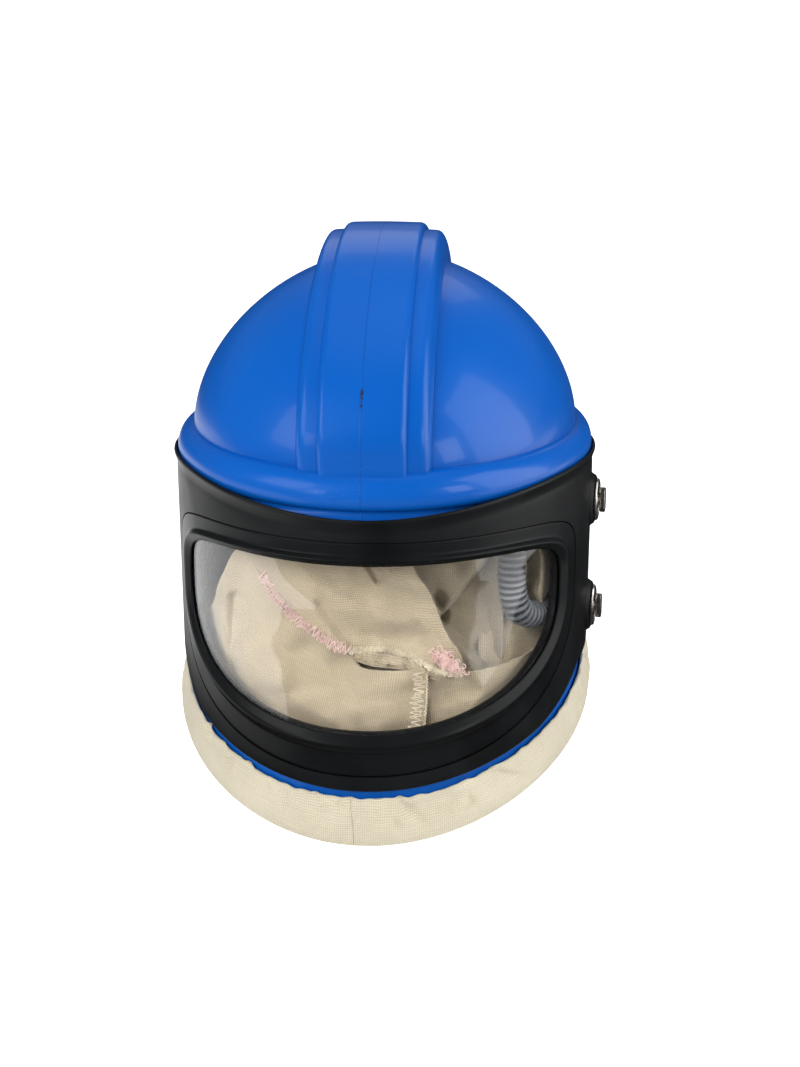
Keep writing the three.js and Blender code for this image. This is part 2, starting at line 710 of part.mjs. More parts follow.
// The hanging fold's line in plan, at its foot and at its top: shares of the crown's half
// width and half depth, from the wearer's right round to the left.
const FOLD_LINE = [
  { footX: -0.9, footY: -0.47, topX: -0.7, topY: -0.62 },
  { footX: -0.74, footY: -0.7, topX: -0.6, topY: -0.74 },
  { footX: -0.43, footY: -0.87, topX: -0.38, topY: -0.84 },
  { footX: -0.08, footY: -0.92, topX: -0.1, topY: -0.88 },
  { footX: 0.28, footY: -0.91, topX: 0.12, topY: -0.87 },
  { footX: 0.4, footY: -0.85, topX: 0.22, topY: -0.8 },
  { footX: 0.36, footY: -0.77, topX: 0.2, topY: -0.73 },
  { footX: 0.25, footY: -0.73, topX: 0.16, topY: -0.68 },
  { footX: 0.36, footY: -0.68, topX: 0.3, topY: -0.65 },
  { footX: 0.5, footY: -0.62, topX: 0.44, topY: -0.62 },
  { footX: 0.6, footY: -0.56, topX: 0.53, topY: -0.58 },
];

function foldCurve(share) {
  const points = FOLD_LINE.map((row) => new THREE.Vector3(
    lerp(row.footX, row.topX, share) * CROWN_HALF_WIDTH,
    lerp(row.footY, row.topY, share) * CROWN_HALF_DEPTH,
    lerp(-FOLD_BOTTOM_DROP, -FOLD_TOP_DROP, share),
  ));
  return new THREE.CatmullRomCurve3(points);
}

function hangingFold() {
  const steps = 26;
  const rows = [0, 0.5, 1].map((share) => {
    const curve = foldCurve(share);
    return range(steps + 1).map((i) => {
      const point = curve.getPoint(i / steps);
      const along = curve.getTangent(i / steps);
      const side = new THREE.Vector3(along.y, -along.x, 0).setLength(CLOTH / 2);
      return { front: point.clone().add(side), back: point.clone().sub(side) };
    });
  });
  const rings = range(steps + 1).map((i) => [
    ...rows.map((row) => row[i].front),
    ...rows.map((row) => row[i].back).reverse(),
  ]);
  const corners = [0, 1, 2].map((k) => new THREE.Vector2(0, k));
  const outline = [...corners, ...corners.map((p) => new THREE.Vector2(-1, 2 - p.y))];
  return strippedSolid(rings, outline);
}

function makeCapeBody() {
  return toGeometry(toSolid(tuckedWall()).add(toSolid(hangingFold())));
}

// Breathing tube and side disc

// The tube's middle line: shares of the crown's half width, half depth and the chin drop.
const TUBE_LINE = [
  [0.89, -0.36, -0.52],
  [0.835, -0.475, -0.49],
  [0.775, -0.585, -0.445],
  [0.71, -0.64, -0.38],
  [0.685, -0.64, -0.29],
  [0.68, -0.61, -0.17],
  [0.68, -0.565, -0.04],
  [0.675, -0.535, 0.06],
];

function makeTube() {
  const line = new THREE.CatmullRomCurve3(TUBE_LINE.map(([x, y, z]) => new THREE.Vector3(
    x * CROWN_HALF_WIDTH,
    y * CROWN_HALF_DEPTH,
    z * CHIN_DROP,
  )));
  const ribs = Math.round(line.getLength() / TUBE_RIB_PITCH);
  const steps = 2 * ribs;
  const frames = line.computeFrenetFrames(steps, false);
  const sides = 8;
  const rings = range(steps + 1).map((i) => {
    const centre = line.getPointAt(i / steps);
    const radius = TUBE_DIAMETER / 2 - (i % 2 ? TUBE_RIB_DEPTH : 0);
    return turns(sides).map((turn) => centre.clone()
      .addScaledVector(frames.normals[i], radius * Math.cos(rad(turn)))
      .addScaledVector(frames.binormals[i], radius * Math.sin(rad(turn))));
  });
  return stackedSolid(rings);
}

function makeDisc() {
  const profile = [
    [0, 0],
    [DISC_RADIUS, 0],
    [DISC_RADIUS, 0.6 * DISC_THICK],
    [0.88 * DISC_RADIUS, DISC_THICK],
    [0, DISC_THICK],
  ].map(([x, y]) => new THREE.Vector2(x, y));
  const disc = new THREE.LatheGeometry(profile, 24);
  disc.rotateX(Math.PI / 2);
  return toGeometry(toSolid(disc));
}

function discMatrix() {
  const standOff = WALL + SEAT_GAP + FACET_SLACK + DISC_RADIUS ** 2 / (2 * CROWN_HALF_DEPTH);
  const matrix = fastenerMatrix(-DISC_ANGLE, -DISC_ANGLE, -DISC_DROP, -standOff);
  return matrix.multiply(new THREE.Matrix4().makeRotationY(Math.PI));
}

// Assembly

function piece(name, geometry, finish, matrix) {
  const mesh = new THREE.Mesh(geometry, finish);
  mesh.name = name;
  if (matrix) mesh.applyMatrix4(matrix);
  return mesh;
}

function makeHood() {
  const hood = new THREE.Group();
  hood.add(
    piece("shell", makeShell(), bluePlastic),
    piece("window_frame", makeFrame(), blackRubber),
    piece("window_gasket", makeGasket(), blackRubber),
    piece("lens", makeLens(), clearPlastic),
    piece("cape_collar", makeCollar(), canvas),
    piece("cape_body", makeCapeBody(), canvas),
    piece("breathing_tube", makeTube(), greyPlastic),
    piece("side_disc", makeDisc(), greyPlastic, discMatrix()),
  );
  const levels = { upper: LOCK_UPPER_DROP, lower: LOCK_LOWER_DROP };
  for (const [level, drop] of Object.entries(levels)) {
    hood.add(
      piece(`lock_${level}_plate`, makePlate(), platedSteel, lockMatrix(drop)),
      piece(`lock_${level}_knob`, makeKnob(), platedSteel, lockMatrix(drop)),
      piece(`frame_rivet_${level}`, makeRivet(), platedSteel, rivetMatrix(drop)),
    );
  }
  return hood;
}

// Lean the hood back onto its rim, and centre its footprint on the origin.
const hood = makeHood();
hood.rotation.x = -rad(RIM_LEAN);
hood.updateMatrixWorld(true);
const bounds = new THREE.Box3().setFromObject(hood, true);
const middle = bounds.getCenter(new THREE.Vector3());
hood.position.set(-middle.x, -middle.y, -bounds.min.z);

const part = new THREE.Group();
part.add(hood);

export default part;
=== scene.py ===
# %% [markdown]
# # A sandblasting hood, dressed in Blender
# The hood is a moulded blue helmet shell with a two-step comb, a black rubber window frame,
# a clear curved window, two metal turn-locks and a canvas cape that is tucked up inside.
# The engineering model is loaded first. It fixes where everything sits. The pieces made
# below follow the same curves at a finer grain and stand in its place.

import math
import bpy
import bmesh
import numpy as np
from mathutils import Matrix, Vector


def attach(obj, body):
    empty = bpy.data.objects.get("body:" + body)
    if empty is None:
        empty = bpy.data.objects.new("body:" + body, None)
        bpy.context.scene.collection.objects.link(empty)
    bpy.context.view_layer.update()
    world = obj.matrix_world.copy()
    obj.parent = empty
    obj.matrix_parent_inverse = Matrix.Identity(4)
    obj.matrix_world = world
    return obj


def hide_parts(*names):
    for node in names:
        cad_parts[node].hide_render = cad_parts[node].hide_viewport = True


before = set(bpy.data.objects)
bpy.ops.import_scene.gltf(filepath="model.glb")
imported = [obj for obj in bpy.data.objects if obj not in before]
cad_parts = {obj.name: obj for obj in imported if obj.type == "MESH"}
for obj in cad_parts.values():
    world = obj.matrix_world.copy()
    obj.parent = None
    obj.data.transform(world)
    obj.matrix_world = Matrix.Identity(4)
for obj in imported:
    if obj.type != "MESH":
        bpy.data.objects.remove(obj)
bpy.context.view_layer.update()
print("frame loaded:", len(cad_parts), "nodes")

# %% [markdown]
# ## The hood's own drawing
# A hood like this is easiest to draw upright: face towards -Y, crease between crown and bead
# at height 0, sizes in millimetres. One function then leans a drawn point back onto the rim
# and turns it to metres, so every piece can be drawn upright and still land in its place.

# %% Place a drawn point
LEAN = math.radians(14)
HOOD_AT = np.array([-2.603243, 31.821424, 162.886972])


def leaned(points):
    p = np.asarray(points, float)
    c, s = math.cos(LEAN), math.sin(LEAN)
    return np.stack([p[..., 0], p[..., 1] * c + p[..., 2] * s, p[..., 2] * c - p[..., 1] * s], -1)


def placed(points):
    return (leaned(points) + HOOD_AT) / 1000


print("crown's top sits at", placed([0, 0, 100]).round(4))

# %% [markdown]
# ## Camera
# The picture is taken from a little above eye level and almost straight ahead. The camera is
# made now, because the pieces inside the window are judged by what it sees through the lens.

# %% Camera
CAMERA_TURN, CAMERA_RISE = math.radians(4.77), math.radians(16.87)
CAMERA_TARGET, CAMERA_DISTANCE = np.array([8.66, 0, -76.8]), 1000
PICTURE, FOCAL_PIXELS = (800, 1067), 1588.6
camera_back = np.array([
    math.sin(CAMERA_TURN) * math.cos(CAMERA_RISE),
    -math.cos(CAMERA_TURN) * math.cos(CAMERA_RISE),
    math.sin(CAMERA_RISE),
])
camera_right = np.array([math.cos(CAMERA_TURN), math.sin(CAMERA_TURN), 0])
back, right = Vector(leaned(camera_back)), Vector(leaned(camera_right))
turn = Matrix((right, back.cross(right), back)).transposed()
camera = bpy.data.objects.new("camera", bpy.data.cameras.new("camera"))
bpy.context.scene.collection.objects.link(camera)
camera.matrix_world = Matrix.Translation(
    placed(CAMERA_TARGET + CAMERA_DISTANCE * camera_back)) @ turn.to_4x4()
camera.data.sensor_fit = "HORIZONTAL"
camera.data.sensor_width = 36
camera.data.lens = 36 * FOCAL_PIXELS / PICTURE[0]
bpy.context.scene.camera = camera
camera_up = np.cross(camera_back, camera_right)


def seen(across, down, y):
    """The drawn point at depth y that shows at a place in the picture, in pixels."""
    across, down, y = np.broadcast_arrays(*[np.asarray(v, float) for v in (across, down, y)])
    ray = ((across - PICTURE[0] / 2)[..., None] * camera_right
           - (down - PICTURE[1] / 2)[..., None] * camera_up - FOCAL_PIXELS * camera_back)
    eye = CAMERA_TARGET + CAMERA_DISTANCE * camera_back
    return eye + ((y - eye[1]) / ray[..., 1])[..., None] * ray


print("camera at", camera.matrix_world.translation.to_tuple(3))

# %% [markdown]
# ## Plan, skirt and rim
# Seen from above the hood is an oval. The skirt follows that oval, pushed a little forward at
# the chin, down to a slanted rim. Everything on the skirt is drawn as an angle round the oval,
# a height and a distance out from the skirt.

# %% Curves of the skirt
HALF_WIDTH, HALF_DEPTH, CROWN_RISE = 116, 140, 100
SKIRT_TOP, SKIRT_REACH, CHIN_PUSH = -26, 7, 11
CHIN_Y, CHIN_RIM = -158, -205  # the rim at the chin: how far forward, how low
WALL = 3


def plan_point(angle, reach, push, z):
    turn = np.radians(angle)
    front = np.maximum(0, np.cos(turn)) ** 2
    x = (HALF_WIDTH + reach) * np.sin(turn)
    y = -(HALF_DEPTH + reach + push * front) * np.cos(turn)
    return np.stack([np.array(p, float) for p in np.broadcast_arrays(x, y, z)], -1)


def rim_level(y, above=0):
    return CHIN_RIM + math.tan(LEAN) * (y - CHIN_Y) + above / math.cos(LEAN)


def skirt_point(angle, z, offset=0):
    foot = rim_level(plan_point(angle, SKIRT_REACH, CHIN_PUSH, 0)[..., 1])
    share = np.clip((SKIRT_TOP - z) / (SKIRT_TOP - foot), 0, 1.1)
    return plan_point(angle, SKIRT_REACH + np.asarray(offset), CHIN_PUSH * share ** 2, z)


def rim_point(angle, above, offset):
    y = plan_point(angle, SKIRT_REACH, CHIN_PUSH, 0)[..., 1]
    p = skirt_point(angle, rim_level(y, above), offset)
    p[..., 2] = rim_level(p[..., 1], above)
    return p


def ease(share):
    s = np.clip(share, 0, 1)
    return s * s * (3 - 2 * s)


print("the rim rises from", rim_level(CHIN_Y), "mm to", round(rim_level(147), 1), "mm behind")

# %% [markdown]
# ## From a grid to a moulded skin
# A moulded skin could be sculpted, or lofted from curves. Here a plain grid primitive is added
# with the wanted rows and columns, and its points are then moved onto the drawn surface. It
# keeps clean four-sided faces, and its UV map is filled with real distances in metres, so
# that weave and stitches later have their true size.


# %% Skin helper
def deselect_all():
    if bpy.context.mode != "OBJECT":
        bpy.ops.object.mode_set(mode="OBJECT")
    bpy.ops.object.select_all(action="DESELECT")


def activate(piece):
    deselect_all()
    piece.select_set(True)
    bpy.context.view_layer.objects.active = piece


def lengths(points, axis):
    steps = np.linalg.norm(np.diff(points, axis=axis), axis=-1)
    first = np.zeros_like(np.take(steps, [0], axis))
    return np.concatenate([first, np.cumsum(steps, axis)], axis)


def skin(name, drawn, wrap_columns=False, wrap_rows=False, outward=None):
    """A grid moved onto drawn[row, column], in millimetres, upright."""
    if wrap_columns:
        drawn = np.concatenate([drawn, drawn[:, :1]], 1)
    if wrap_rows:
        drawn = np.concatenate([drawn, drawn[:1]], 0)
    points = placed(drawn)
    rows, columns = points.shape[:2]
    deselect_all()
    bpy.ops.mesh.primitive_grid_add(x_subdivisions=columns - 1, y_subdivisions=rows - 1, size=1)
    piece = bpy.context.object
    piece.name = name
    piece.data.vertices.foreach_set("co", points.reshape(-1))
    metres = np.stack([
        np.broadcast_to(lengths(points, 1).mean(0), (rows, columns)),
        np.broadcast_to(lengths(points, 0).mean(1)[:, None], (rows, columns)),
    ], -1).reshape(-1, 2)
    loops = np.zeros(len(piece.data.loops), int)
    piece.data.loops.foreach_get("vertex_index", loops)
    piece.data.uv_layers[0].data.foreach_set("uv", metres[loops].reshape(-1))
    piece.data.update()
    bpy.ops.object.mode_set(mode="EDIT")
    bpy.ops.mesh.select_all(action="SELECT")
    bpy.ops.mesh.remove_doubles(threshold=2e-6)
    bpy.ops.mesh.normals_make_consistent(inside=False)
    bpy.ops.object.mode_set(mode="OBJECT")
    if outward is not None:
        spot, way = Vector(placed(outward[0])), Vector(leaned(outward[1]))
        near = min(piece.data.polygons, key=lambda face: (face.center - spot).length)
        if near.normal.dot(way) < 0:
            piece.data.flip_normals()
    return piece


def apply(piece, kind, **settings):
    activate(piece)
    modifier = piece.modifiers.new(kind.title(), kind)
    for key, value in settings.items():
        setattr(modifier, key, value)
    bpy.ops.object.modifier_apply(modifier=modifier.name)
    return piece


def smooth(piece, angle=40):
    activate(piece)
    bpy.ops.object.shade_smooth_by_angle(angle=math.radians(angle))
    return piece


def joined(pieces, name):
    activate(pieces[0])
    for piece in pieces:
        piece.select_set(True)
    bpy.ops.object.join()
    pieces[0].name = name
    return pieces[0]


def report(piece):
    faces = sum(len(face.vertices) - 2 for face in piece.data.polygons)
    size = [round(1000 * x, 1) for x in piece.dimensions]
    print(piece.name, "has", faces, "triangles and measures", size, "mm")


# %% [markdown]
# ## Crown and comb
# The crown is a dome, and the comb is a raised strip over it in two steps: a wide low one and
# a narrower one on top. On the real shell they come out of one mould, with a soft crease where
# they meet. So they are one skin here as well: the grid's columns run across the comb, close
# together at its edges, and its rows run from the face over the top to the back.

# %% Crown surface
ROUNDNESS = 1.8
COMB_HALF, RIDGE_HALF, RIDGE_RISE = 36.5, 24, 4


def centre_line(swing):
    a = np.radians(swing)
    y = -HALF_DEPTH * np.sign(np.cos(a)) * np.abs(np.cos(a)) ** (2 / ROUNDNESS)
    z = CROWN_RISE * np.abs(np.sin(a)) ** (2 / ROUNDNESS)
    return np.stack([y, z], -1)


def centre_out(swing):
    s = np.clip(swing, 0.5, 179.5)
    along = centre_line(s + 0.05) - centre_line(s - 0.05)
    along /= np.linalg.norm(along, axis=-1, keepdims=True)
    return np.stack([-along[..., 1], along[..., 0]], -1)


def crown_point(x, swing):
    """The dome at a distance across and a swing from the face, by halving."""
    line = centre_line(swing) / [HALF_DEPTH, CROWN_RISE]
    low, high = np.zeros(np.broadcast(x, swing).shape), np.ones(np.broadcast(x, swing).shape)
    for _ in range(40):
        t = (low + high) / 2
        over = ((x / HALF_WIDTH) ** 2 + (t * line[..., 0]) ** 2) ** (ROUNDNESS / 2) \
            + (t * line[..., 1]) ** ROUNDNESS > 1
        low, high = np.where(over, low, t), np.where(over, t, high)
    return np.stack([x + 0 * t, t * line[..., 0] * HALF_DEPTH, t * line[..., 1] * CROWN_RISE], -1)


# %% Comb profile
def comb_height(x, swing, ground):
    """Height of comb or dome above the middle line; ground is the dome's own height there."""
    side = np.abs(x)
    lift = np.sin(np.radians(np.clip(swing, 0, 180)))
    rooted = 0.62 + 0.38 * ease(np.minimum(swing, 180 - swing) / 13)
    step = (4.5 + 8 * lift) * rooted
    bend = -(0.9 - 0.7 * lift) * 0.5 * side ** 2 / HALF_WIDTH
    edge = np.clip((side - (RIDGE_HALF - 4.2)) / 4.2, 0, 1)
    ridge = RIDGE_RISE * (1 - edge ** 2.4) ** (1 / 2.0)
    ridge = np.where(side > RIDGE_HALF, 0, ridge)
    top = step + bend + ridge * rooted
    fall = np.clip((side - 29.5) / (COMB_HALF - 29.5), 0, 1)
    return np.where(side < COMB_HALF, ground + (top - ground) * (1 - fall ** 2.6) ** (1 / 2.3), ground)


def across_steps():
    middle = np.concatenate([
        np.linspace(0, 19.5, 8, endpoint=False), np.linspace(19.5, 24.4, 16, endpoint=False),
        np.linspace(24.4, 29, 5, endpoint=False), 29 + 8.2 * np.sin(np.linspace(0, 1, 22) * np.pi / 2),
    ])
    outer = HALF_WIDTH * np.sin(np.linspace(math.asin(37.6 / HALF_WIDTH), np.pi / 2, 46))
    half = np.concatenate([middle, outer])
    return np.concatenate([-half[:0:-1], half])


# %% Build the crown
xs = across_steps()
swings = np.concatenate([
    np.linspace(0, 8, 12, endpoint=False), np.linspace(8, 172, 112), np.linspace(172, 180, 13)[1:]])
x, swing = np.meshgrid(xs, swings)
dome = crown_point(x, swing)
line, out = centre_line(swing), centre_out(swing)
ground = ((dome[..., 1:] - line) * out).sum(-1)
lift = comb_height(x, swing, ground) - ground
dome[..., 1:] += lift[..., None] * out
front_feet = [dome[:1] - [0, 0, z] for z in (12, 9, 6, 3)]
back_feet = [dome[-1:] - [0, 0, z] for z in (3, 6, 9, 12)]
rows = np.concatenate([*front_feet, dome, *back_feet])
crown = skin("shell_crown", rows, outward=([0, 0, 116], [0, 0, 1]))
apply(crown, "SOLIDIFY", thickness=WALL / 1000, offset=-1)
smooth(crown, 50)
report(crown)

# %% [markdown]
# ## Bead, neck, skirt and flange
# Below the crown the shell is a closed ring: a rolled bead, a recessed neck, the skirt that
# carries the window frame, and a flared flange at the foot that holds the cape. Its wall is
# drawn as one closed section and carried round the oval.


# %% Skirt section
BEAD_RADIUS, FLANGE_REACH, FLANGE_TALL = (7.75, 10.5), 5, 16


def flange_flare(above):
    return FLANGE_REACH * np.clip(1 - above / FLANGE_TALL, 0, 1) ** 1.3


def shell_rings(angles):
    rings = []
    for roll in np.linspace(np.pi / 2, -np.pi / 2, 22):
        step = 0.5 - roll / np.pi
        reach = 4.5 * step + BEAD_RADIUS[0] * math.cos(roll)
        rings.append(plan_point(angles, reach, 0, -BEAD_RADIUS[1] * (1 - math.sin(roll))))
    rings.append(plan_point(angles, 4.3, 0, -22.5))
    rings.append(plan_point(angles, 4.9, 0, -24.4))
    rings.append(skirt_point(angles, SKIRT_TOP + 0.0 * angles, -0.2))
    foot = rim_point(angles, FLANGE_TALL, 0)[..., 2]
    for share in np.linspace(0.03, 1, 20):
        rings.append(skirt_point(angles, SKIRT_TOP + (foot - SKIRT_TOP) * share, 0))
    for above in np.linspace(14.5, 0.8, 10):
        rings.append(rim_point(angles, above, flange_flare(above)))
    rings.append(rim_point(angles, 0, flange_flare(0) - 0.8))
    rings.append(rim_point(angles, 0, flange_flare(0) - 2.4))
    for above in (0.6, 4, 8, 12, FLANGE_TALL):
        rings.append(rim_point(angles, above, flange_flare(above) - WALL))
    for share in np.linspace(0.95, 0, 12):
        rings.append(skirt_point(angles, SKIRT_TOP + (foot - SKIRT_TOP) * share, -WALL))
    rings.append(plan_point(angles, 1.5, 0, -21))
    rings.append(plan_point(angles, -1.2, 0, -8))
    rings.append(plan_point(angles, -WALL, 0, 0))
    return np.stack(rings)


angles = np.linspace(0, 360, 240, endpoint=False)
skirt = skin("shell_skirt", shell_rings(angles), wrap_columns=True, wrap_rows=True)

# %% [markdown]
# ## The window's outline
# The opening is flat along the top and bellied below, drawn on the skirt as an angle and a
# height. A share of 0 is the opening's edge and 1 is the outer edge of the rubber ring. A
# solid plug of that outline cuts the opening, as a router would with a template.


# %% Window outline and plug
def window_spot(turn, share, shrink=1.0):
    half_angle = 58 + share * 22 / math.radians(HALF_DEPTH)
    rise, drop = 35 + share * 13, 60.5 + share * 24
    c, s = np.cos(turn), np.sin(turn)
    power = np.where(s > 0, 5.0, 2.2)
    radius = shrink / (np.abs(c) ** power + np.abs(s) ** power) ** (1 / power)
    return half_angle * radius * c, -85 + radius * s * np.where(s > 0, rise, drop)


def window_plug(share, low, high, steps=240):
    turns = np.linspace(0, 2 * np.pi, steps, endpoint=False)
    rings = []
    for offset, shrinks in ((low, (0.0, 0.3, 0.65, 0.9, 1)), (high, (1, 0.9, 0.65, 0.3, 0.0))):
        for shrink in shrinks:
            angle, z = window_spot(turns, share, shrink)
            rings.append(skirt_point(angle, z, offset))
    return skin("plug", np.stack(rings), wrap_columns=True)


def cut(piece, cutter):
    apply(piece, "BOOLEAN", operation="DIFFERENCE", object=cutter, solver="EXACT")
    bpy.data.objects.remove(cutter)


cut(skirt, window_plug(0.2, -12, 12))
smooth(skirt, 40)
report(skirt)

# %% [markdown]
# ## Rubber window frame
# The frame is one moulded rubber band round the front of the skirt, with a flared lip along
# the top and rounded ends. Its section is drawn once, its corners are softened, and it is
# carried round the skirt between the band's top and bottom edges.


# %% Frame band
BAND_END, BAND_CORNER = 105, 14
BAND_FACE, BAND_SEAT, BAND_LIP = 4.15, 1.15, 5.85  # distances out from the skirt


def softened(section, times=2):
    """Cuts the corners of a closed section, so that edges catch light as moulded rubber does."""
    for _ in range(times):
        after = np.roll(section, -1, 0)
        pair = np.stack([0.8 * section + 0.2 * after, 0.2 * section + 0.8 * after], 1)
        section = pair.reshape(-1, *section.shape[1:])
    return section


def frame_edges(angle):
    side = np.abs(angle)
    top = -24 + 11 * ease(side / 63) - 4.4 * ease(side / 63 - 1)
    hem = rim_point(angle, 24.8, 0)[..., 2]
    bottom = np.maximum(-180 + 39 * np.clip(side / 73, 0, 1) ** 2.4, hem)
    into = np.clip(BAND_CORNER - np.radians(BAND_END - side) * HALF_WIDTH, 0, BAND_CORNER)
    corner = BAND_CORNER - np.sqrt(BAND_CORNER ** 2 - into ** 2)
    return top - corner, bottom + corner


def frame_section(angle):
    top, bottom = frame_edges(angle)
    third = (top - bottom) / 3
    face, seat, lip = BAND_FACE, BAND_SEAT, BAND_LIP
    rows = [(bottom, seat), (bottom, face - 0.8), (bottom + 1.5, face)]
    rows += [(bottom + share * (top - 11 - bottom), face) for share in np.linspace(0.1, 1, 14)]
    rows += [(top - 8, face - 0.25), (top - 5, face + 0.35)]
    rows += [(top - 1.6, lip - 0.1), (top - 0.2, lip - 0.5)]
    rows += [(top, lip - 1.8), (top - 4, lip - 2.6), (top - 8, seat)]
    rows += [(top - third, seat), (bottom + third, seat)]
    z = np.stack(np.broadcast_arrays(*[r[0] + 0 * angle for r in rows]))
    offset = np.array([r[1] for r in rows])[:, None] + 0 * z
    return np.stack([z, offset], -1)


corner_shares = np.array([0.03, 0.08, 0.15, 0.25, 0.37, 0.5, 0.66, 0.83])
corner = corner_shares * BAND_CORNER / math.radians(HALF_WIDTH)
angles = np.concatenate([
    [-BAND_END], corner - BAND_END, np.linspace(-97.5, 97.5, 230), BAND_END - corner[::-1], [BAND_END]])
section = softened(frame_section(angles))
band = skirt_point(np.broadcast_to(angles, section.shape[:2]), section[..., 0], section[..., 1])
window_frame = skin("window_frame_rubber", band, wrap_rows=True)
bpy.ops.object.mode_set(mode="EDIT")
bpy.ops.mesh.select_all(action="DESELECT")
bpy.ops.mesh.select_mode(type="EDGE")
bpy.ops.mesh.select_non_manifold(extend=False)
bpy.ops.mesh.fill()
bpy.ops.mesh.select_all(action="SELECT")
bpy.ops.mesh.normals_make_consistent(inside=False)
bpy.ops.object.mode_set(mode="OBJECT")
cut(window_frame, window_plug(1.025, -6, 12))
report(window_frame)

# %% [markdown]
# ## Pads under the turn-locks
# Each turn-lock stands on a sloped oval pad moulded onto the band. A pad is lofted from an oval
# foot on the band to a flat oval top, with a rounded shoulder between.

# %% Fastener frames and pads
LOCK_DROPS = {"upper": 47, "lower": 115}
LOCK_ANGLE, LOCK_FACING, PAD_RISE = 84, 79, 3
PAD_HALF = (11, 14.6)  # half width and half height of a pad's top


def fastener(angle, face_angle, z, offset):
    """A fastener's own axes, X along the skirt, Y up, Z outward, and its place; upright millimetres."""
    turn = math.radians(face_angle)
    out = np.array([math.sin(turn), -math.cos(turn), 0])
    up = np.array([0.0, 0, 1])
    at = skirt_point(np.array(float(angle)), np.array(float(z)), offset)
    return np.stack([np.cross(up, out), up, out]), at


def from_fastener(points, fastening):
    axes, at = fastening
    return np.asarray(points, float) @ axes + at


def lock_at(drop):
    return fastener(LOCK_ANGLE, LOCK_FACING, -drop, BAND_FACE + PAD_RISE)


def lock_pad(drop):
    turns = np.linspace(0, 2 * np.pi, 64, endpoint=False)
    across, up = np.cos(turns), np.sin(turns)
    foot = skirt_point(LOCK_ANGLE + 13 * across / math.radians(HALF_DEPTH), 18 * up - drop, 2.1)

    def oval(inset, sink):
        flat = [(PAD_HALF[0] - inset) * across, (PAD_HALF[1] - inset) * up, 0 * turns - sink]
        return from_fastener(np.stack(flat, -1), lock_at(drop))

    rings = [foot * (1 - s) + oval(0, 0) * s for s in (0, 0.4, 0.7, 0.88)]
    rings += [oval(inset, sink) for inset, sink in ((0.3, 0.25), (0.8, 0.04), (1.6, 0), (4, 0))]
    middle = from_fastener([[0, 0, 0]], lock_at(drop))
    rings.append(np.broadcast_to(middle, foot.shape))
    return skin("pad", np.stack(rings), wrap_columns=True, outward=(middle[0], lock_at(drop)[0][2]))


pads = [lock_pad(drop) for drop in LOCK_DROPS.values()]
window_frame = joined([window_frame, *pads], "window_frame_rubber")
smooth(window_frame, 38)
report(window_frame)

# %% [markdown]
# ## Gasket ring round the lens
# A softer ring with a rolled lip is buttoned into the frame, and grips the lens in a slot. It
# follows the window's outline, so its section is drawn as a share of the way from the opening
# to the outer edge.

# %% Gasket
GASKET_SECTION = [
    [0, 3.45], [0, 4.0], [0.02, 4.5], [0.09, 5.25], [0.17, 6.2], [0.24, 6.75], [0.29, 6.7], [0.36, 5.8],
    [0.42, 4.7], [0.47, 4.35], [0.6, 4.3], [0.75, 4.3], [0.9, 4.33], [0.965, 4.3], [1, 3.7], [1, 1.15],
    [0.6, 1.15], [0.33, 1.15], [0.33, 3.45],
]


def window_ring(name, section):
    section = softened(np.array(section))
    angle, z = window_spot(np.linspace(0, 2 * np.pi, 300, endpoint=False)[None, :], section[:, :1])
    drawn = skirt_point(angle, z, section[:, 1:] + 0 * z)
    return smooth(skin(name, drawn, wrap_columns=True, wrap_rows=True), 45)


gasket = window_ring("window_gasket_rubber", GASKET_SECTION)
report(gasket)

# %% [markdown]
# Behind the lens the same rubber wraps the cut edge of the shell, so that no blue edge shows
# through the window. That lip is a second ring with a hooked section.

# %% Gasket's inner lip
LIP_SECTION = [
    [0.02, 0.95], [0.185, 0.95], [0.185, -3.2], [0.34, -3.2], [0.34, -4.3], [0.1, -4.5], [0.03, -3.9],
    [0.0, -2],
]
gasket = joined([gasket, window_ring("inner_lip", LIP_SECTION)], "window_gasket_rubber")
report(gasket)

# %% [markdown]
# ## Lens
# The lens is a thin clear sheet that bends round the window. It could be a flat sheet bent by
# a modifier, but drawing both faces on the skirt's own curve keeps it exactly in its slot.

# %% Lens
lens = window_plug(0.28, 1.15, 3.15, steps=160)
lens.name = "lens_sheet"
smooth(lens, 30)
report(lens)

# %% [markdown]
# ## Canvas
# The cape is plain cotton canvas. Its collar is held under the flange by an elastic hem, so the
# hem is finely gathered and its edge wavers. The collar then turns under the rim and up inside.
# The gathers are drawn into the skin as fine waves that fade downwards.

# %% Cloth waves
GATHER_SEED = 7


def wavering(angles, counts, seed):
    """A smooth closed wave round the hood, between about -1 and 1, from a few counts per turn."""
    random = np.random.default_rng(seed)
    total = sum(np.sin(np.radians(angles) * n + random.uniform(0, 2 * np.pi)) * random.uniform(0.5, 1)
                for n in counts)
    return total / (0.75 * len(counts)) ** 0.5 / 1.2


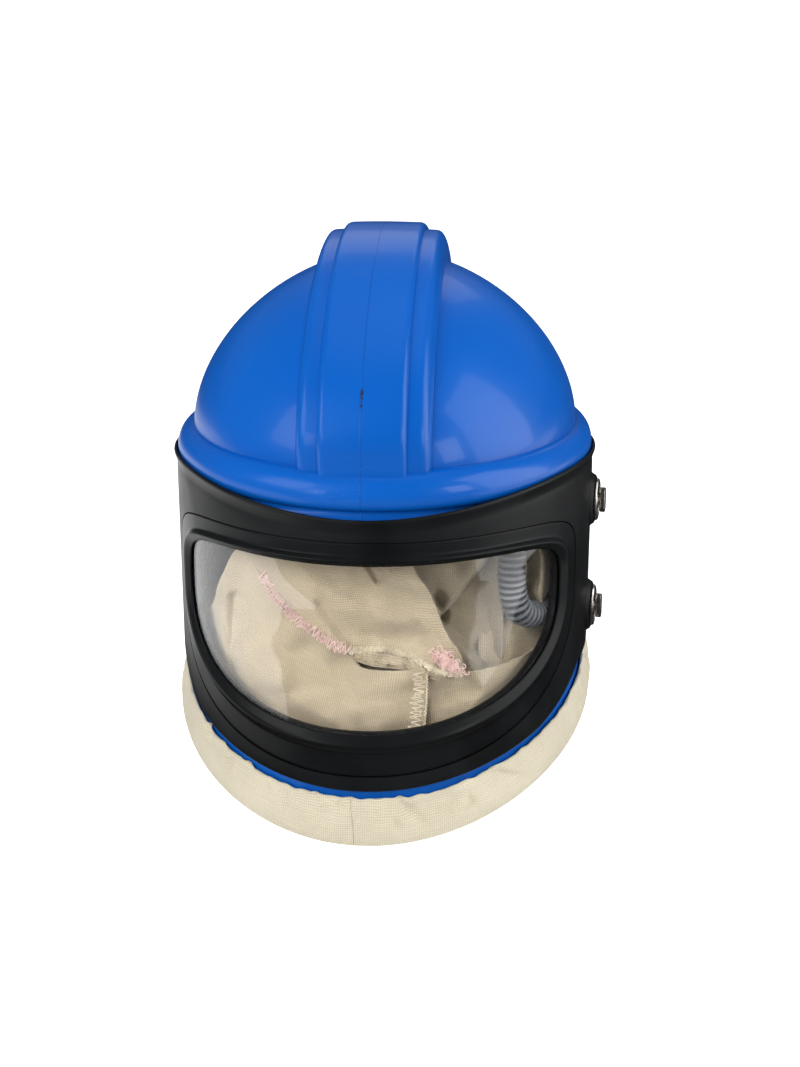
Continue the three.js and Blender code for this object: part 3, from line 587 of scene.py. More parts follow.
# %% Collar
COLLAR_SECTION = np.array([
    [1.15, 25.2], [1.7, 26.1], [2.9, 26.2], [3.6, 25.2], [3.9, 23], [4.6, 19.5], [6.0, 15.2], [7.2, 10.5],
    [7.7, 6], [7.5, 2.8], [6.9, 0.9], [5.9, 0], [3, 0], [0, 0], [-3.3, 0], [-4.6, 0.6], [-5.5, 2.4],
    [-5.75, 8], [-5.75, 15], [-5.75, 22], [-4.3, 22], [-4.15, 15], [-4.15, 8], [-4.0, 3.4], [-3.2, 1.7],
    [0, 1.6], [4.5, 1.6], [5.8, 2.6], [6.1, 6], [5.5, 10.5], [4.2, 15], [2.8, 19.5], [1.6, 23],
])
SEAM_ANGLE = -2.0
angles = np.sort(np.concatenate([
    np.linspace(-180, 180, 900, endpoint=False), np.linspace(SEAM_ANGLE - 1.2, SEAM_ANGLE + 1.2, 31)]))
section = softened(COLLAR_SECTION, 1)
offset = np.broadcast_to(section[:, :1], (len(section), len(angles))).copy()
above = np.broadcast_to(section[:, 1:], offset.shape).copy()
outer = ((section[:, 0] > 2.4) & (section[:, 1] > 1)).astype(float)[:, None]
rise = np.clip(above / 26, 0, 1)
fine = wavering(angles, (41, 58, 77, 93, 112), GATHER_SEED)
broad = wavering(angles, (7, 11, 17, 23), GATHER_SEED + 1)
offset += outer * (-0.35 + 0.35 * fine * rise ** 1.5 + 0.5 * broad * np.sin(rise * np.pi))

# %% [markdown]
# The elastic pulls short slanting wrinkles into the cloth below the hem, each of its own length
# and tilt. At the front the band's two ends overlap, with a sharp seam between them.

# %% Collar wrinkles and seam
random = np.random.default_rng(GATHER_SEED + 5)
for _ in range(120):
    middle, level, tilt = random.uniform(-180, 180), random.uniform(9, 24), random.normal(0, 0.55)
    wide, long, deep = random.uniform(0.7, 1.9), random.uniform(3, 9), random.uniform(0.7, 2.1)
    from_line = (angles - middle) - tilt * (above - level) * 0.45
    offset -= outer * deep * np.exp(-(from_line / wide) ** 2 - ((above - level) / long) ** 2)
from_seam = angles - SEAM_ANGLE - 0.1 * np.sin(above / 4) + 0.04 * (above - 13)
overlap = 0.45 * ease(0.5 - from_seam / 0.25) * np.exp(-np.abs(from_seam) / 3)
offset += outer * (overlap - 0.75 * np.exp(-(from_seam / 0.16) ** 2))
edge = 0.45 * wavering(angles, (23, 37, 61, 83), GATHER_SEED + 2) + 0.45 * broad
front = np.maximum(0, np.cos(np.radians(angles))) ** 2
above += np.clip((above - 12) / 14, 0, 1) * (edge - 3.0 - 2.0 * (1 - front))
ring = rim_point(np.broadcast_to(angles, offset.shape), above - 2.2, offset)
collar = skin("cape_collar_canvas", ring, wrap_columns=True, wrap_rows=True)
smooth(collar, 60)
report(collar)

# %% [markdown]
# ## The cape, tucked up inside
# Behind the lens the rest of the cape stands and hangs in loose folds. A cloth simulation could
# drop it there, but the folds in view have definite places, so each panel is drawn as a curve
# in plan that changes with height, and gets its thickness from a Solidify modifier.


def canvas_panel(name, drawn, wrap=False, thickness=0.0011):
    panel = skin(name, drawn, wrap_columns=wrap)
    closed = np.concatenate([drawn, drawn[:, :1]], 1) if wrap else drawn
    width = float(lengths(placed(closed), 1)[:, -1].max())
    apply(panel, "SOLIDIFY", thickness=thickness, offset=0)
    smooth(panel, 60)
    report(panel)
    return panel


angles = np.linspace(0, 360, 360, endpoint=False)
heights = np.linspace(0, 1, 26)[:, None]
face = np.maximum(0, np.cos(np.radians(angles))) ** 2
tall = 42 + 7 * face
waver = wavering(angles, (5, 9, 14, 19), 21)
ripple = (1 - np.cos(np.radians(9 * angles))) * 0.8 * heights
ripple = ripple + 0.35 * wavering(angles, (31, 43), 5) * heights
above = tall * heights + 2 * waver * heights
wall = rim_point(np.broadcast_to(angles, ripple.shape), above, -6.9 - 1.6 * ripple)
cape_wall = canvas_panel("cape_wall_canvas", wall, wrap=True)

# %% [markdown]
# ## Panels behind the lens
# The cape bunches up in overlapping panels: a front panel whose right edge rolls back, a lower
# panel sewn to it along a pink seam, a darker one behind with a diagonal fold, and slack cloth
# at the right. Each is a patch between four border lines, given where they show through the
# lens, and a depth. Creases are steps in that depth.


# %% Panel between four borders
def smooth_line(points, count):
    """A Catmull-Rom curve through the points, at even steps of its parameter."""
    p = np.asarray(points, float)
    p = np.concatenate([[2 * p[0] - p[1]], p, [2 * p[-1] - p[-2]]])
    t = np.linspace(0, len(p) - 3, count)
    i = np.minimum(t.astype(int), len(p) - 4)
    f = (t - i)[:, None]
    a, b, c, d = p[i], p[i + 1], p[i + 2], p[i + 3]
    square, cube = 2 * a - 5 * b + 4 * c - d, 3 * b - a - 3 * c + d
    return 0.5 * (2 * b + (c - a) * f + square * f ** 2 + cube * f ** 3)


def patch(top, bottom, left, right, columns, rows):
    """Picture positions [row, column] spread evenly between four border lines."""
    u, v = np.linspace(0, 1, columns)[None, :, None], np.linspace(0, 1, rows)[:, None, None]
    t, b = smooth_line(top, columns)[None], smooth_line(bottom, columns)[None]
    l, r = smooth_line(left, rows)[:, None], smooth_line(right, rows)[:, None]
    corners = (1 - v) * ((1 - u) * t[:, :1] + u * t[:, -1:]) + v * ((1 - u) * b[:, :1] + u * b[:, -1:])
    return (1 - v) * t + v * b + (1 - u) * l + u * r - corners


def crease(px, py, start, end, width):
    """0 left of a seen line, 1 right of it, eased over a width in pixels; fades past its ends."""
    (x0, y0), (x1, y1) = start, end
    long = math.hypot(x1 - x0, y1 - y0)
    along = ((px - x0) * (x1 - x0) + (py - y0) * (y1 - y0)) / long ** 2
    off = ((px - x0) * (y1 - y0) - (py - y0) * (x1 - x0)) / long
    fade = ease((along + 0.15) / 0.15) * ease((1.15 - along) / 0.15)
    return ease(0.5 - off / width) * fade


def groove(px, py, start, end, width):
    """A soft valley along a seen line: 1 on the line, 0 a width away."""
    (x0, y0), (x1, y1) = start, end
    long2 = (x1 - x0) ** 2 + (y1 - y0) ** 2
    along = np.clip(((px - x0) * (x1 - x0) + (py - y0) * (y1 - y0)) / long2, 0, 1)
    off = np.hypot(px - x0 - along * (x1 - x0), py - y0 - along * (y1 - y0))
    return ease(1 - off / width)


def slack(px, py, seed, reach=60):
    random = np.random.default_rng(seed)
    total = 0
    for _ in range(9):
        swing, size = random.uniform(0, 2 * np.pi), reach * random.uniform(0.35, 1.6)
        run = (px * math.cos(swing) + py * math.sin(swing)) / size
        total = total + size / reach * np.sin(run * 2 * np.pi + random.uniform(0, 2 * np.pi))
    return total / 3


def kept_inside(points, gap=9.0):
    """Keeps points a gap inside the shell's outer face, and above its rim."""
    room = SKIRT_REACH - gap
    reach = np.hypot(points[..., 0] / (HALF_WIDTH + room), points[..., 1] / (HALF_DEPTH + room))
    points = points.copy()
    points[..., :2] /= np.maximum(reach, 1)[..., None]
    points[..., 2] = np.maximum(points[..., 2], rim_level(points[..., 1]) + 4)
    return points


def seen_panel(name, borders, counts, depth, curl=None):
    """A canvas panel between four borders; a curl rolls its right edge back, in millimetres."""
    drawn = patch(*borders, *counts)
    px, py = drawn[..., 0], drawn[..., 1]
    y = depth(px, py)
    if curl:
        roll = np.linspace(0, 1, 12)[1:] * np.pi * 0.62
        px = np.concatenate([px, px[:, -1:] + 2.2 * np.sin(roll) - 5 * (1 - np.cos(roll))], 1)
        y = np.concatenate([y, y[:, -1:] + curl * (1 - np.cos(roll)) + 2.5 * np.sin(roll)], 1)
        py = np.concatenate([py, np.repeat(py[:, -1:], len(roll), 1)], 1)
    return canvas_panel(name, kept_inside(seen(px, py, y)))


# %% [markdown]
# ## Front and lower panel
# The cloth nearest the lens follows its curve. The lower panel is sewn to the front one along a
# slanting seam, and between them a slit is left open at the right.

# %% Front panel
SEAM = [(240, 546), (262, 573), (277, 597), (295, 617), (315, 632), (335, 645), (350, 651)]
TORN = [(350, 651), (375, 649), (400, 653), (420, 662), (440, 671), (463, 673)]
EDGE = [(404, 528), (410, 560), (416, 575), (426, 589), (434, 605), (440, 622), (449, 640), (459, 655),
        (463, 673)]


def near_depth(px, py):
    base = np.interp(px, [180, 205, 225, 250, 280, 330, 380, 430, 475],
                     [-58, -73, -87, -100, -111, -121, -125, -124, -118])
    return base - 8 * ease((py - 590) / 140)


def front_depth(px, py):
    y = near_depth(px, py) + 2.2 * slack(px, py, 4, 90) + 0.75 * slack(px, py, 5, 28)
    y += 4.5 * groove(px, py, (366, 560), (378, 580), 7) - 1.6 * groove(px, py, (383, 566), (396, 584), 9)
    y += 4.2 * groove(px, py, (372, 640), (412, 636), 20) + 3 * groove(px, py, (322, 604), (350, 640), 11)
    y -= 2.4 * groove(px, py, (300, 566), (352, 610), 16)
    y += 4 * ease((px - 395) / 70) * ease((640 - py) / 60)
    return y - 1.5


front_panel = seen_panel("cape_front_canvas", (
    [(238, 528), (290, 528), (345, 528), (404, 528)], SEAM + TORN[1:], [(238, 528), (240, 546)], EDGE,
), (190, 110), front_depth, curl=6)


# %% Lower panel
def lower_depth(px, py):
    y = near_depth(px, py) + 2.1 * slack(px, py, 14, 80) + 0.6 * slack(px, py, 15, 26)
    y += 4.5 * groove(px, py, (236, 596), (234, 668), 9) - 2 * groove(px, py, (246, 600), (244, 690), 12)
    y += 3 * groove(px, py, (262, 690), (330, 735), 14) - 1.6 * groove(px, py, (345, 690), (350, 735), 12)
    return y


SLIT = [(190, 616), (212, 601), (224, 574), (240, 548), (262, 574), (277, 598), (295, 618), (315, 633),
        (335, 646), (352, 656), (362, 667), (380, 670), (408, 670), (414, 666), (427, 672)]
lower_panel = seen_panel("cape_lower_canvas", (
    SLIT, [(190, 752), (250, 752), (340, 752), (428, 752)], [(190, 616), (190, 752)],
    [(427, 672), (427, 700), (425, 725), (424, 752)],
), (200, 100), lower_depth)


# %% [markdown]
# ## Panels further back
# Behind the front panel the cloth is in shade. It is one hanging panel with a diagonal step,
# where it folds over itself, and a straight edge at the right. A smaller piece crosses in front
# of its foot, and two slack pieces fill the side below and behind the tube.

# %% Back panel
def back_depth(px, py):
    y = np.interp(px, [330, 380, 430, 470, 502], [-108, -106, -100, -94, -87])
    y = y + 1.6 * slack(px, py, 24, 70) + 0.4 * slack(px, py, 25, 22)
    y += 11 * crease(px, py, (438, 616), (489, 556), 4) * ease((500 - px) / 30 + 0.4)
    y -= 4 * crease(px, py, (489, 600), (486, 690), 6) * ease((py - 600) / 22)
    y -= 8 * ease((py - 650) / 10) * ease((430 - px) / 24) * ease((px - 352) / 12)
    return y + 9 * groove(px, py, (437, 598), (440, 616), 12)


# this panel wears the darker canvas, whose colour is painted shade
back_panel = seen_panel("cape_back_canvas", (
    [(330, 560), (378, 528), (420, 528), (465, 528), (501, 528)], [(330, 740), (440, 740), (500, 740)],
    [(330, 560), (330, 740)], [(501, 528), (501, 575), (502, 620), (501, 662), (500, 740)],
), (130, 120), back_depth, curl=5)


# %% Crossing, side and upper pieces
def cross_depth(px, py):
    y = np.interp(px, [400, 430, 480, 520, 550, 565], [-117, -118, -112, -98, -82, -72])
    y = y - 5 * ease((py - 640) / 90) + 1.8 * slack(px, py, 34, 55) + 0.4 * slack(px, py, 35, 20)
    return y + 2.4 * groove(px, py, (436, 697), (475, 690), 12)


cross_panel = seen_panel("cape_crossing_canvas", (
    [(398, 690), (427, 678), (467, 671), (512, 664), (552, 648)], [(398, 752), (470, 752), (552, 752)],
    [(398, 690), (398, 752)], [(552, 648), (554, 700), (552, 752)],
), (120, 60), cross_depth)


def side_depth(px, py):
    y = np.interp(px, [480, 510, 545, 580], [-84, -78, -62, -44]) - 7 * ease((py - 620) / 80)
    return y + 2.4 * slack(px, py, 44, 45) - 3 * crease(px, py, (516, 690), (546, 640), 5)


side_panel = seen_panel("cape_side_canvas", (
    [(478, 612), (505, 617), (530, 624), (556, 622), (580, 614)], [(478, 735), (530, 735), (580, 735)],
    [(478, 612), (478, 735)], [(580, 614), (580, 735)],
), (90, 80), side_depth)


def upper_depth(px, py):
    return np.interp(px, [505, 527, 540, 572], [-62, -66, -74, -66]) + 2.2 * slack(px, py, 54, 40)


upper_panel = seen_panel("cape_upper_canvas", (
    [(512, 528), (545, 528), (572, 528)], [(514, 588), (527, 601), (541, 603), (556, 594), (572, 586)],
    [(512, 528), (514, 588)], [(572, 528), (572, 586)],
), (70, 60), upper_depth)

# %% [markdown]
# ## Threads
# Stitches are real threads. Each is a line that gets a small round thickness as a curve, and
# is then turned into a mesh. An overlocked seam zigzags over the cloth's edge, a torn edge
# shows short loose ends, and a tangled tuft hangs where the seam has come undone.


# %% Threads
def threads(name, lines, radius):
    drawing = bpy.data.curves.new(name, "CURVE")
    drawing.dimensions, drawing.bevel_depth, drawing.bevel_resolution = "3D", radius / 1000, 1
    drawing.use_fill_caps = True
    for line in lines:
        points = np.pad(placed(line), ((0, 0), (0, 1)), constant_values=1)
        spline = drawing.splines.new("POLY")
        spline.points.add(len(points) - 1)
        spline.points.foreach_set("co", points.reshape(-1))
    piece = bpy.data.objects.new(name, drawing)
    bpy.context.scene.collection.objects.link(piece)
    activate(piece)
    bpy.ops.object.convert(target="MESH")
    piece = bpy.context.object
    bpy.ops.object.shade_smooth()
    report(piece)
    return piece


def stitched(line, depth, half, pitch, above=0.9, seed=1, wild=0.25):
    """One zigzag of thread along a seen line, half as wide as stated, in pixels."""
    random = np.random.default_rng(seed)
    fine = smooth_line(line, 600)
    run = lengths(fine, 0)
    at = np.arange(0, run[-1], pitch)
    px, py = (np.interp(at, run, fine[:, k]) for k in (0, 1))
    along = np.stack([np.gradient(px), np.gradient(py)], 1)
    along /= np.linalg.norm(along, axis=1, keepdims=True)
    side = np.where(np.arange(len(at)) % 2, 1, -1) * half * (1 + wild * random.normal(size=len(at)))
    px, py = px - along[:, 1] * side, py + along[:, 0] * side
    zig = smooth_line(np.stack([px, py], 1), len(at) * 5)
    lift = above + 0.25 * np.cos(np.linspace(0, len(at), len(zig)) * 2 * np.pi)
    return seen(zig[:, 0], zig[:, 1], depth(zig[:, 0], zig[:, 1]) - lift)


def nearest_depth(px, py):
    return np.minimum(front_depth(px, py), lower_depth(px, py))


pink_lines = [stitched(SEAM[1:], nearest_depth, half, pitch, 1.0 + 0.3 * k, k)
              for k, (half, pitch) in enumerate([(4.6, 2.6), (3.4, 3.5), (5.2, 4.3), (4.2, 3.0)])]
pink_stitches = threads("cape_pink_stitches", pink_lines, 0.22)

ZIGZAG = [(418.5, 672), (418.5, 695), (417, 715), (415, 742)]
EDGING = [(426.5, 672), (426.5, 695), (425, 715), (423, 742)]
cream_lines = [stitched(ZIGZAG, lower_depth, half, pitch, 1.0 + 0.3 * k, 9 + k)
               for k, (half, pitch) in enumerate([(5.5, 2.4), (4.0, 3.4)])]
cream_lines += [stitched(EDGING, lower_depth, 0.9, 1.7, 0.5 + 0.4 * k, 12 + k) for k in (0, 1)]
cream_stitches = threads("cape_cream_stitches", cream_lines, 0.28)


# %% Torn edge and tuft
def loose_ends(line, depth, count, seed, low=1.0, high=5.0, down=1.0):
    random = np.random.default_rng(seed)
    fine = smooth_line(line, 400)
    ends = []
    for _ in range(count):
        x, y = fine[random.integers(len(fine))]
        way, long = random.normal(0, 0.7), random.uniform(low, high)
        step = np.linspace(0, 1, 7)
        bend = random.normal(0, 1.2)
        px = x + step * long * math.sin(way) + bend * step ** 2
        py = y - 0.8 + down * step * long * math.cos(way) + 0.5 * bend * np.sin(step * 3)
        ends.append(seen(px, py, depth(px, py) - 0.4 - random.uniform(0.2, 1.6) * step))
    return ends


fringe_lines = loose_ends(TORN, front_depth, 260, 61) + loose_ends(TORN, front_depth, 90, 62, 1, 3, -1.0)
for k, lower in enumerate((-1.5, 0.5, 2.5)):
    line = [(x, y + lower) for x, y in TORN]
    fringe_lines.append(stitched(line, front_depth, 1.3, 2.1, 0.7 + 0.3 * k, 70 + k, 0.5))
fringe = threads("cape_torn_edge_threads", fringe_lines, 0.27)

TUFT_AT, TUFT_SPREAD = np.array([446, 662]), [6.2, 4.8]
random = np.random.default_rng(77)
tuft_lines = []
for _ in range(240):
    across, down = random.normal(0, 1, 2) * TUFT_SPREAD
    x, y = TUFT_AT + [across + 0.25 * down, down + 0.35 * across]
    start, sweep, size = random.uniform(0, 2 * np.pi), random.uniform(1.5, 5), random.uniform(0.8, 2.6)
    turn = start + np.linspace(0, sweep, 9)
    hump = max(0.0, 1 - (across / 16) ** 2 - (down / 12) ** 2) * random.uniform(0.2, 1)
    depth = front_depth(446.0, 662.0) - 0.8 - 4.2 * hump - 0.4 * np.sin(np.linspace(0, 3, 9))
    tuft_lines.append(seen(x + size * np.cos(turn), y + size * np.sin(turn), depth))
tuft = threads("cape_tuft_threads", tuft_lines, 0.3)

# %% [markdown]
# Under the torn edge two narrow folded strips of the seam allowance show, one over the other.

# %% Folded strips
STRIPS = [
    ([(350, 652), (375, 652), (400, 657), (424, 667), (446, 676)],
     [(351, 656), (372, 661), (396, 665), (420, 672), (444, 679)], 0.6),
    ([(352, 655), (372, 659), (396, 664), (420, 671), (440, 678)],
     [(356, 661), (374, 666), (398, 669), (416, 672), (438, 681)], -1.6),
]


def seam_strip(k):
    top, bottom, near = STRIPS[k]
    borders = top, bottom, [top[0], bottom[0]], [top[-1], bottom[-1]]
    return seen_panel(f"strip_{k}", borders, (130, 14), lambda px, py: (
        near_depth(px, py) - near + 0.9 * slack(px, py, 81 + k, 14)))


strips = [seam_strip(k) for k in (0, 1)]
strip = joined(strips, "cape_seam_strips_canvas")

# %% [markdown]
# ## Breathing tube
# The tube inside the hood is corrugated plastic, so that it bends without closing. Its wall is
# a circle carried along a smooth line, wider at each rib and narrower between them.

# %% Tube
TUBE_LINE = np.array([
    [0.90, -0.36, -0.52], [0.84, -0.47, -0.50], [0.775, -0.56, -0.485], [0.72, -0.62, -0.455],
    [0.69, -0.64, -0.39], [0.685, -0.64, -0.29], [0.68, -0.61, -0.17], [0.68, -0.565, -0.04],
    [0.675, -0.535, 0.06],
]) * [HALF_WIDTH, HALF_DEPTH, 205]
RIB_PITCH, RIB_DEPTH, TUBE_RADIUS, STEPS_PER_RIB = 3.7, 1.3, 8.25, 9


def tube_rings(line, sides=40):
    path = smooth_line(line, 1200)
    run = lengths(path, 0)
    count = int(run[-1] / RIB_PITCH) * STEPS_PER_RIB
    at = np.linspace(0, run[-1], count)
    centre = np.stack([np.interp(at, run, path[:, k]) for k in range(3)], -1)
    along = np.gradient(centre, axis=0)
    along /= np.linalg.norm(along, axis=1, keepdims=True)
    side = np.cross(along, [0.3, 1, 0.2])
    side /= np.linalg.norm(side, axis=1, keepdims=True)
    other = np.cross(along, side)
    wave = 0.5 + 0.5 * np.cos(2 * np.pi * at / RIB_PITCH)
    radius = TUBE_RADIUS - RIB_DEPTH * (1 - wave ** 0.7)
    turn = np.linspace(0, 2 * np.pi, sides, endpoint=False)
    ring = np.cos(turn)[None, :, None] * side[:, None] + np.sin(turn)[None, :, None] * other[:, None]
    rings = centre[:, None] + radius[:, None, None] * ring
    start, end = (np.broadcast_to(centre[k], rings[:1].shape) for k in (0, -1))
    return np.concatenate([start, rings, end])


rings = tube_rings(TUBE_LINE)
tube_run = lengths(placed(rings), 0).mean(1)
RIB_START = float(tube_run[1])
RIB_STEP = float(tube_run[-2] - tube_run[1]) / ((len(rings) - 3) / STEPS_PER_RIB)
tube = skin("breathing_tube_plastic", rings, wrap_columns=True)
smooth(tube, 50)
report(tube)

# %% [markdown]
# ## Side disc
# On the wearer's right inner wall sits a dark moulded disc. It starts as a cylinder primitive.
# Its front face is inset and pushed in for the dish, and inset again for the boss.


# %% Disc
def lathe_like(name, radius, depth, fastening, insets, sides=64, base=0.0):
    """A round moulding: a cylinder whose outer face is inset and moved, step after step."""
    deselect_all()
    bpy.ops.mesh.primitive_cylinder_add(
        vertices=sides, radius=radius / 1000, depth=depth / 1000,
        location=(0, 0, (base + depth / 2) / 1000))
    piece = bpy.context.object
    piece.name = name
    bpy.ops.object.transform_apply(location=True)
    bpy.ops.object.mode_set(mode="EDIT")
    bpy.ops.mesh.select_mode(type="FACE")
    bpy.ops.mesh.select_all(action="DESELECT")
    mesh = bmesh.from_edit_mesh(piece.data)
    for face in mesh.faces:
        face.select = face.normal.z > 0.9
    bmesh.update_edit_mesh(piece.data)
    for width, rise in insets:
        bpy.ops.mesh.inset(thickness=width / 1000)
        bpy.ops.transform.translate(value=(0, 0, rise / 1000))
    bpy.ops.object.mode_set(mode="OBJECT")
    return to_fastener(piece, fastening)


def to_fastener(piece, fastening):
    """Moves a piece drawn at the origin to its fastener, and puts its place into its mesh."""
    axes, at = fastening
    matrix = Matrix(leaned(axes).T.tolist()).to_4x4()
    matrix.translation = placed(at)
    piece.data.transform(matrix)
    piece.data.update()
    return piece


DISC_RADIUS, DISC_THICK, DISC_ANGLE, DISC_DROP = 17, 4.4, -88, 100
stand_off = WALL + 0.3 + 0.85 + DISC_RADIUS ** 2 / (2 * HALF_DEPTH)  # a flat disc on a curved wall
disc_axes, disc_at = fastener(DISC_ANGLE, DISC_ANGLE, -DISC_DROP, -stand_off)
disc = lathe_like("side_disc_plastic", DISC_RADIUS, DISC_THICK, (disc_axes * [[-1], [1], [-1]], disc_at),
                  [(0.8, 0.6), (2.6, 0), (0.8, -1.2), (5, 0), (0.6, 0.9), (3, 0)])
apply(disc, "BEVEL", width=0.0003, segments=2, limit_method="ANGLE")
smooth(disc, 40)
report(disc)

# %% [markdown]
# ## Turn-locks
# A turn-lock is a stamped oval plate with a raised rim round its post, and a knob bar that
# turns on that post: upright it locks, lying across it lets go. The plate is a ring with an
# oval outside. The bar is a cylinder whose halves are pulled apart, with its edges bevelled.

# %% Plates
PLATE_SECTION = np.array([
    [0, 0.3], [0.5, 0.3], [1, 0.3], [1.02, 0.9], [0.96, 1.6], [0.9, 1.85], [0.84, 1.6], [0.76, 1.25],
    [0.62, 1.2], [0.45, 1.2], [0.32, 1.3], [0.2, 1.75], [0.1, 2.0], [0, 1.7],
])
POST_HOLE, PLATE_HALF = 3.4, (8.5, 13)


def lock_plate(name, drop):
    turns = np.linspace(0, 2 * np.pi, 96, endpoint=False)
    section = softened(PLATE_SECTION)
    share, height = section[:, :1], section[:, 1:] + 0 * turns
    wide, tall = (POST_HOLE + (half - POST_HOLE) * share for half in PLATE_HALF)
    flat = np.stack([wide * np.cos(turns), tall * np.sin(turns), height], -1)
    ring = from_fastener(flat, lock_at(drop))
    return smooth(skin(name, ring, wrap_columns=True, wrap_rows=True), 40)


plates = {level: lock_plate(f"lock_{level}_plate_steel", drop) for level, drop in LOCK_DROPS.items()}
report(plates["upper"])


# %% Knobs
BAR_RADIUS, BAR_THICK, BAR_HALF_STRETCH, BAR_LIFT = 0.003, 0.0034, 0.0047, 2.6
NECK_RADIUS, NECK_SUNK = 0.0024, 6


def turn_knob(name, drop):
    """A short cylinder is pulled out to a bar with round ends, and stood on a round neck."""
    deselect_all()
    bpy.ops.mesh.primitive_cylinder_add(vertices=48, radius=BAR_RADIUS, depth=BAR_THICK,
                                        location=(0, 0, BAR_LIFT / 1000 + BAR_THICK / 2))
    piece = bpy.context.object
    piece.name = name
    bpy.ops.object.transform_apply(location=True)
    bpy.ops.object.mode_set(mode="EDIT")
    bpy.ops.mesh.select_mode(type="VERT")
    for side in (1, -1):
        bpy.ops.mesh.select_all(action="DESELECT")
        mesh = bmesh.from_edit_mesh(piece.data)
        for vertex in mesh.verts:
            vertex.select = side * vertex.co.y > 1e-6
        mesh.select_flush_mode()
        bmesh.update_edit_mesh(piece.data)
        bpy.ops.transform.translate(value=(0, side * BAR_HALF_STRETCH, 0))
    bpy.ops.mesh.select_all(action="SELECT")
    bpy.ops.mesh.bevel(offset=0.0007, segments=3, affect="EDGES")
    bpy.ops.object.mode_set(mode="OBJECT")
    reach = NECK_SUNK + BAR_LIFT + BAR_THICK * 500
    bpy.ops.mesh.primitive_cylinder_add(vertices=40, radius=NECK_RADIUS, depth=reach / 1000,
                                        location=(0, 0, (reach / 2 - NECK_SUNK) / 1000))
    neck = bpy.context.object
    bpy.ops.object.transform_apply(location=True)
    return smooth(to_fastener(joined([piece, neck], name), lock_at(drop)), 35)


knobs = {level: turn_knob(f"lock_{level}_knob_steel", drop) for level, drop in LOCK_DROPS.items()}
report(knobs["upper"])

# %% [markdown]
# ## Rivets
# At the other end of the band two plain domed rivets hold it to the shell. A head is a short
# cylinder whose face is inset and raised in steps until it is domed.

# %% Rivets
DOME = [(0.5, 0.45), (0.9, 0.45), (1.2, 0.35), (1.4, 0.2)]
RIVET_ANGLE, RIVET_RADIUS = -95, 6


def rivet(name, drop):
    fastening = fastener(RIVET_ANGLE, RIVET_ANGLE, -drop, BAND_FACE)
    return smooth(lathe_like(name, RIVET_RADIUS, 0.5, fastening, DOME, sides=48, base=0.3), 50)


rivets = {level: rivet(f"frame_rivet_{level}_steel", drop) for level, drop in LOCK_DROPS.items()}
report(rivets["upper"])

# %% [markdown]
# ## Finishes
# Every finish is a node material. Effects that several finishes share are built once as node
# groups: a slow variation with a fine grain for moulded surfaces, thin scratches, and a plain
# weave for canvas. The groups hand out masks, colours and heights, and the shader stays in
# each material.


# %% Node helpers
def new_group(name, inputs, outputs):
    tree = bpy.data.node_groups.new(name, "ShaderNodeTree")
    for label, kind, default in inputs:
        socket = tree.interface.new_socket(name=label, in_out="INPUT", socket_type=kind)
        socket.default_value = default
    for label, kind in outputs:
        tree.interface.new_socket(name=label, in_out="OUTPUT", socket_type=kind)
    return tree, tree.nodes.new("NodeGroupInput"), tree.nodes.new("NodeGroupOutput")


class Wiring:
    """Short words for adding nodes to one tree and joining them."""

    def __init__(self, tree):
        self.tree = tree

    def node(self, kind, inputs=(), **settings):
        made = self.tree.nodes.new(kind)
        for key, value in settings.items():
            setattr(made, key, value)
        for key, value in dict(inputs).items():
            self.put(made.inputs[key], value)
        return made

    def put(self, socket, value):
        if isinstance(value, bpy.types.NodeSocket):
            self.tree.links.new(value, socket)
        else:
            socket.default_value = value

    def math(self, operation, a, b=0.0, clamp=False):
        return self.node("ShaderNodeMath", {0: a, 1: b}, operation=operation, use_clamp=clamp).outputs[0]

    def plus(self, a, b, clamp=False):
        return self.math("ADD", a, b, clamp)

    def minus(self, a, b):
        return self.math("SUBTRACT", a, b)

    def times(self, a, b, clamp=False):
        return self.math("MULTIPLY", a, b, clamp)

    def absolute(self, a):
        return self.math("ABSOLUTE", a)

    def ramp(self, value, low, high, to_low=0.0, to_high=1.0):
        made = self.node("ShaderNodeMapRange", {0: value, 1: low, 2: high, 3: to_low, 4: to_high},
                         interpolation_type="SMOOTHSTEP")
        return made.outputs[0]

    def mix(self, factor, a, b):
        return self.node("ShaderNodeMix", {0: factor, 6: a, 7: b}, data_type="RGBA").outputs[2]

    def noise(self, vector, scale, detail=3.0, roughness=0.5):
        inputs = {"Vector": vector, "Scale": scale, "Detail": detail, "Roughness": roughness}
        return self.node("ShaderNodeTexNoise", inputs).outputs["Fac"]


# %% Effect: variation and grain
variation, source, sink = new_group(
    "variation_and_grain",
    [("Place", "NodeSocketVector", (0, 0, 0)), ("Patch Scale", "NodeSocketFloat", 12.0),
     ("Grain Scale", "NodeSocketFloat", 900.0)],
    [("Patches", "NodeSocketFloat"), ("Grain", "NodeSocketFloat")])
w = Wiring(variation)
patches = w.noise(source.outputs["Place"], source.outputs["Patch Scale"], 4)
w.put(sink.inputs["Patches"], w.ramp(patches, 0.3, 0.7))
w.put(sink.inputs["Grain"], w.noise(source.outputs["Place"], source.outputs["Grain Scale"], 2))
print("effect group:", variation.name)

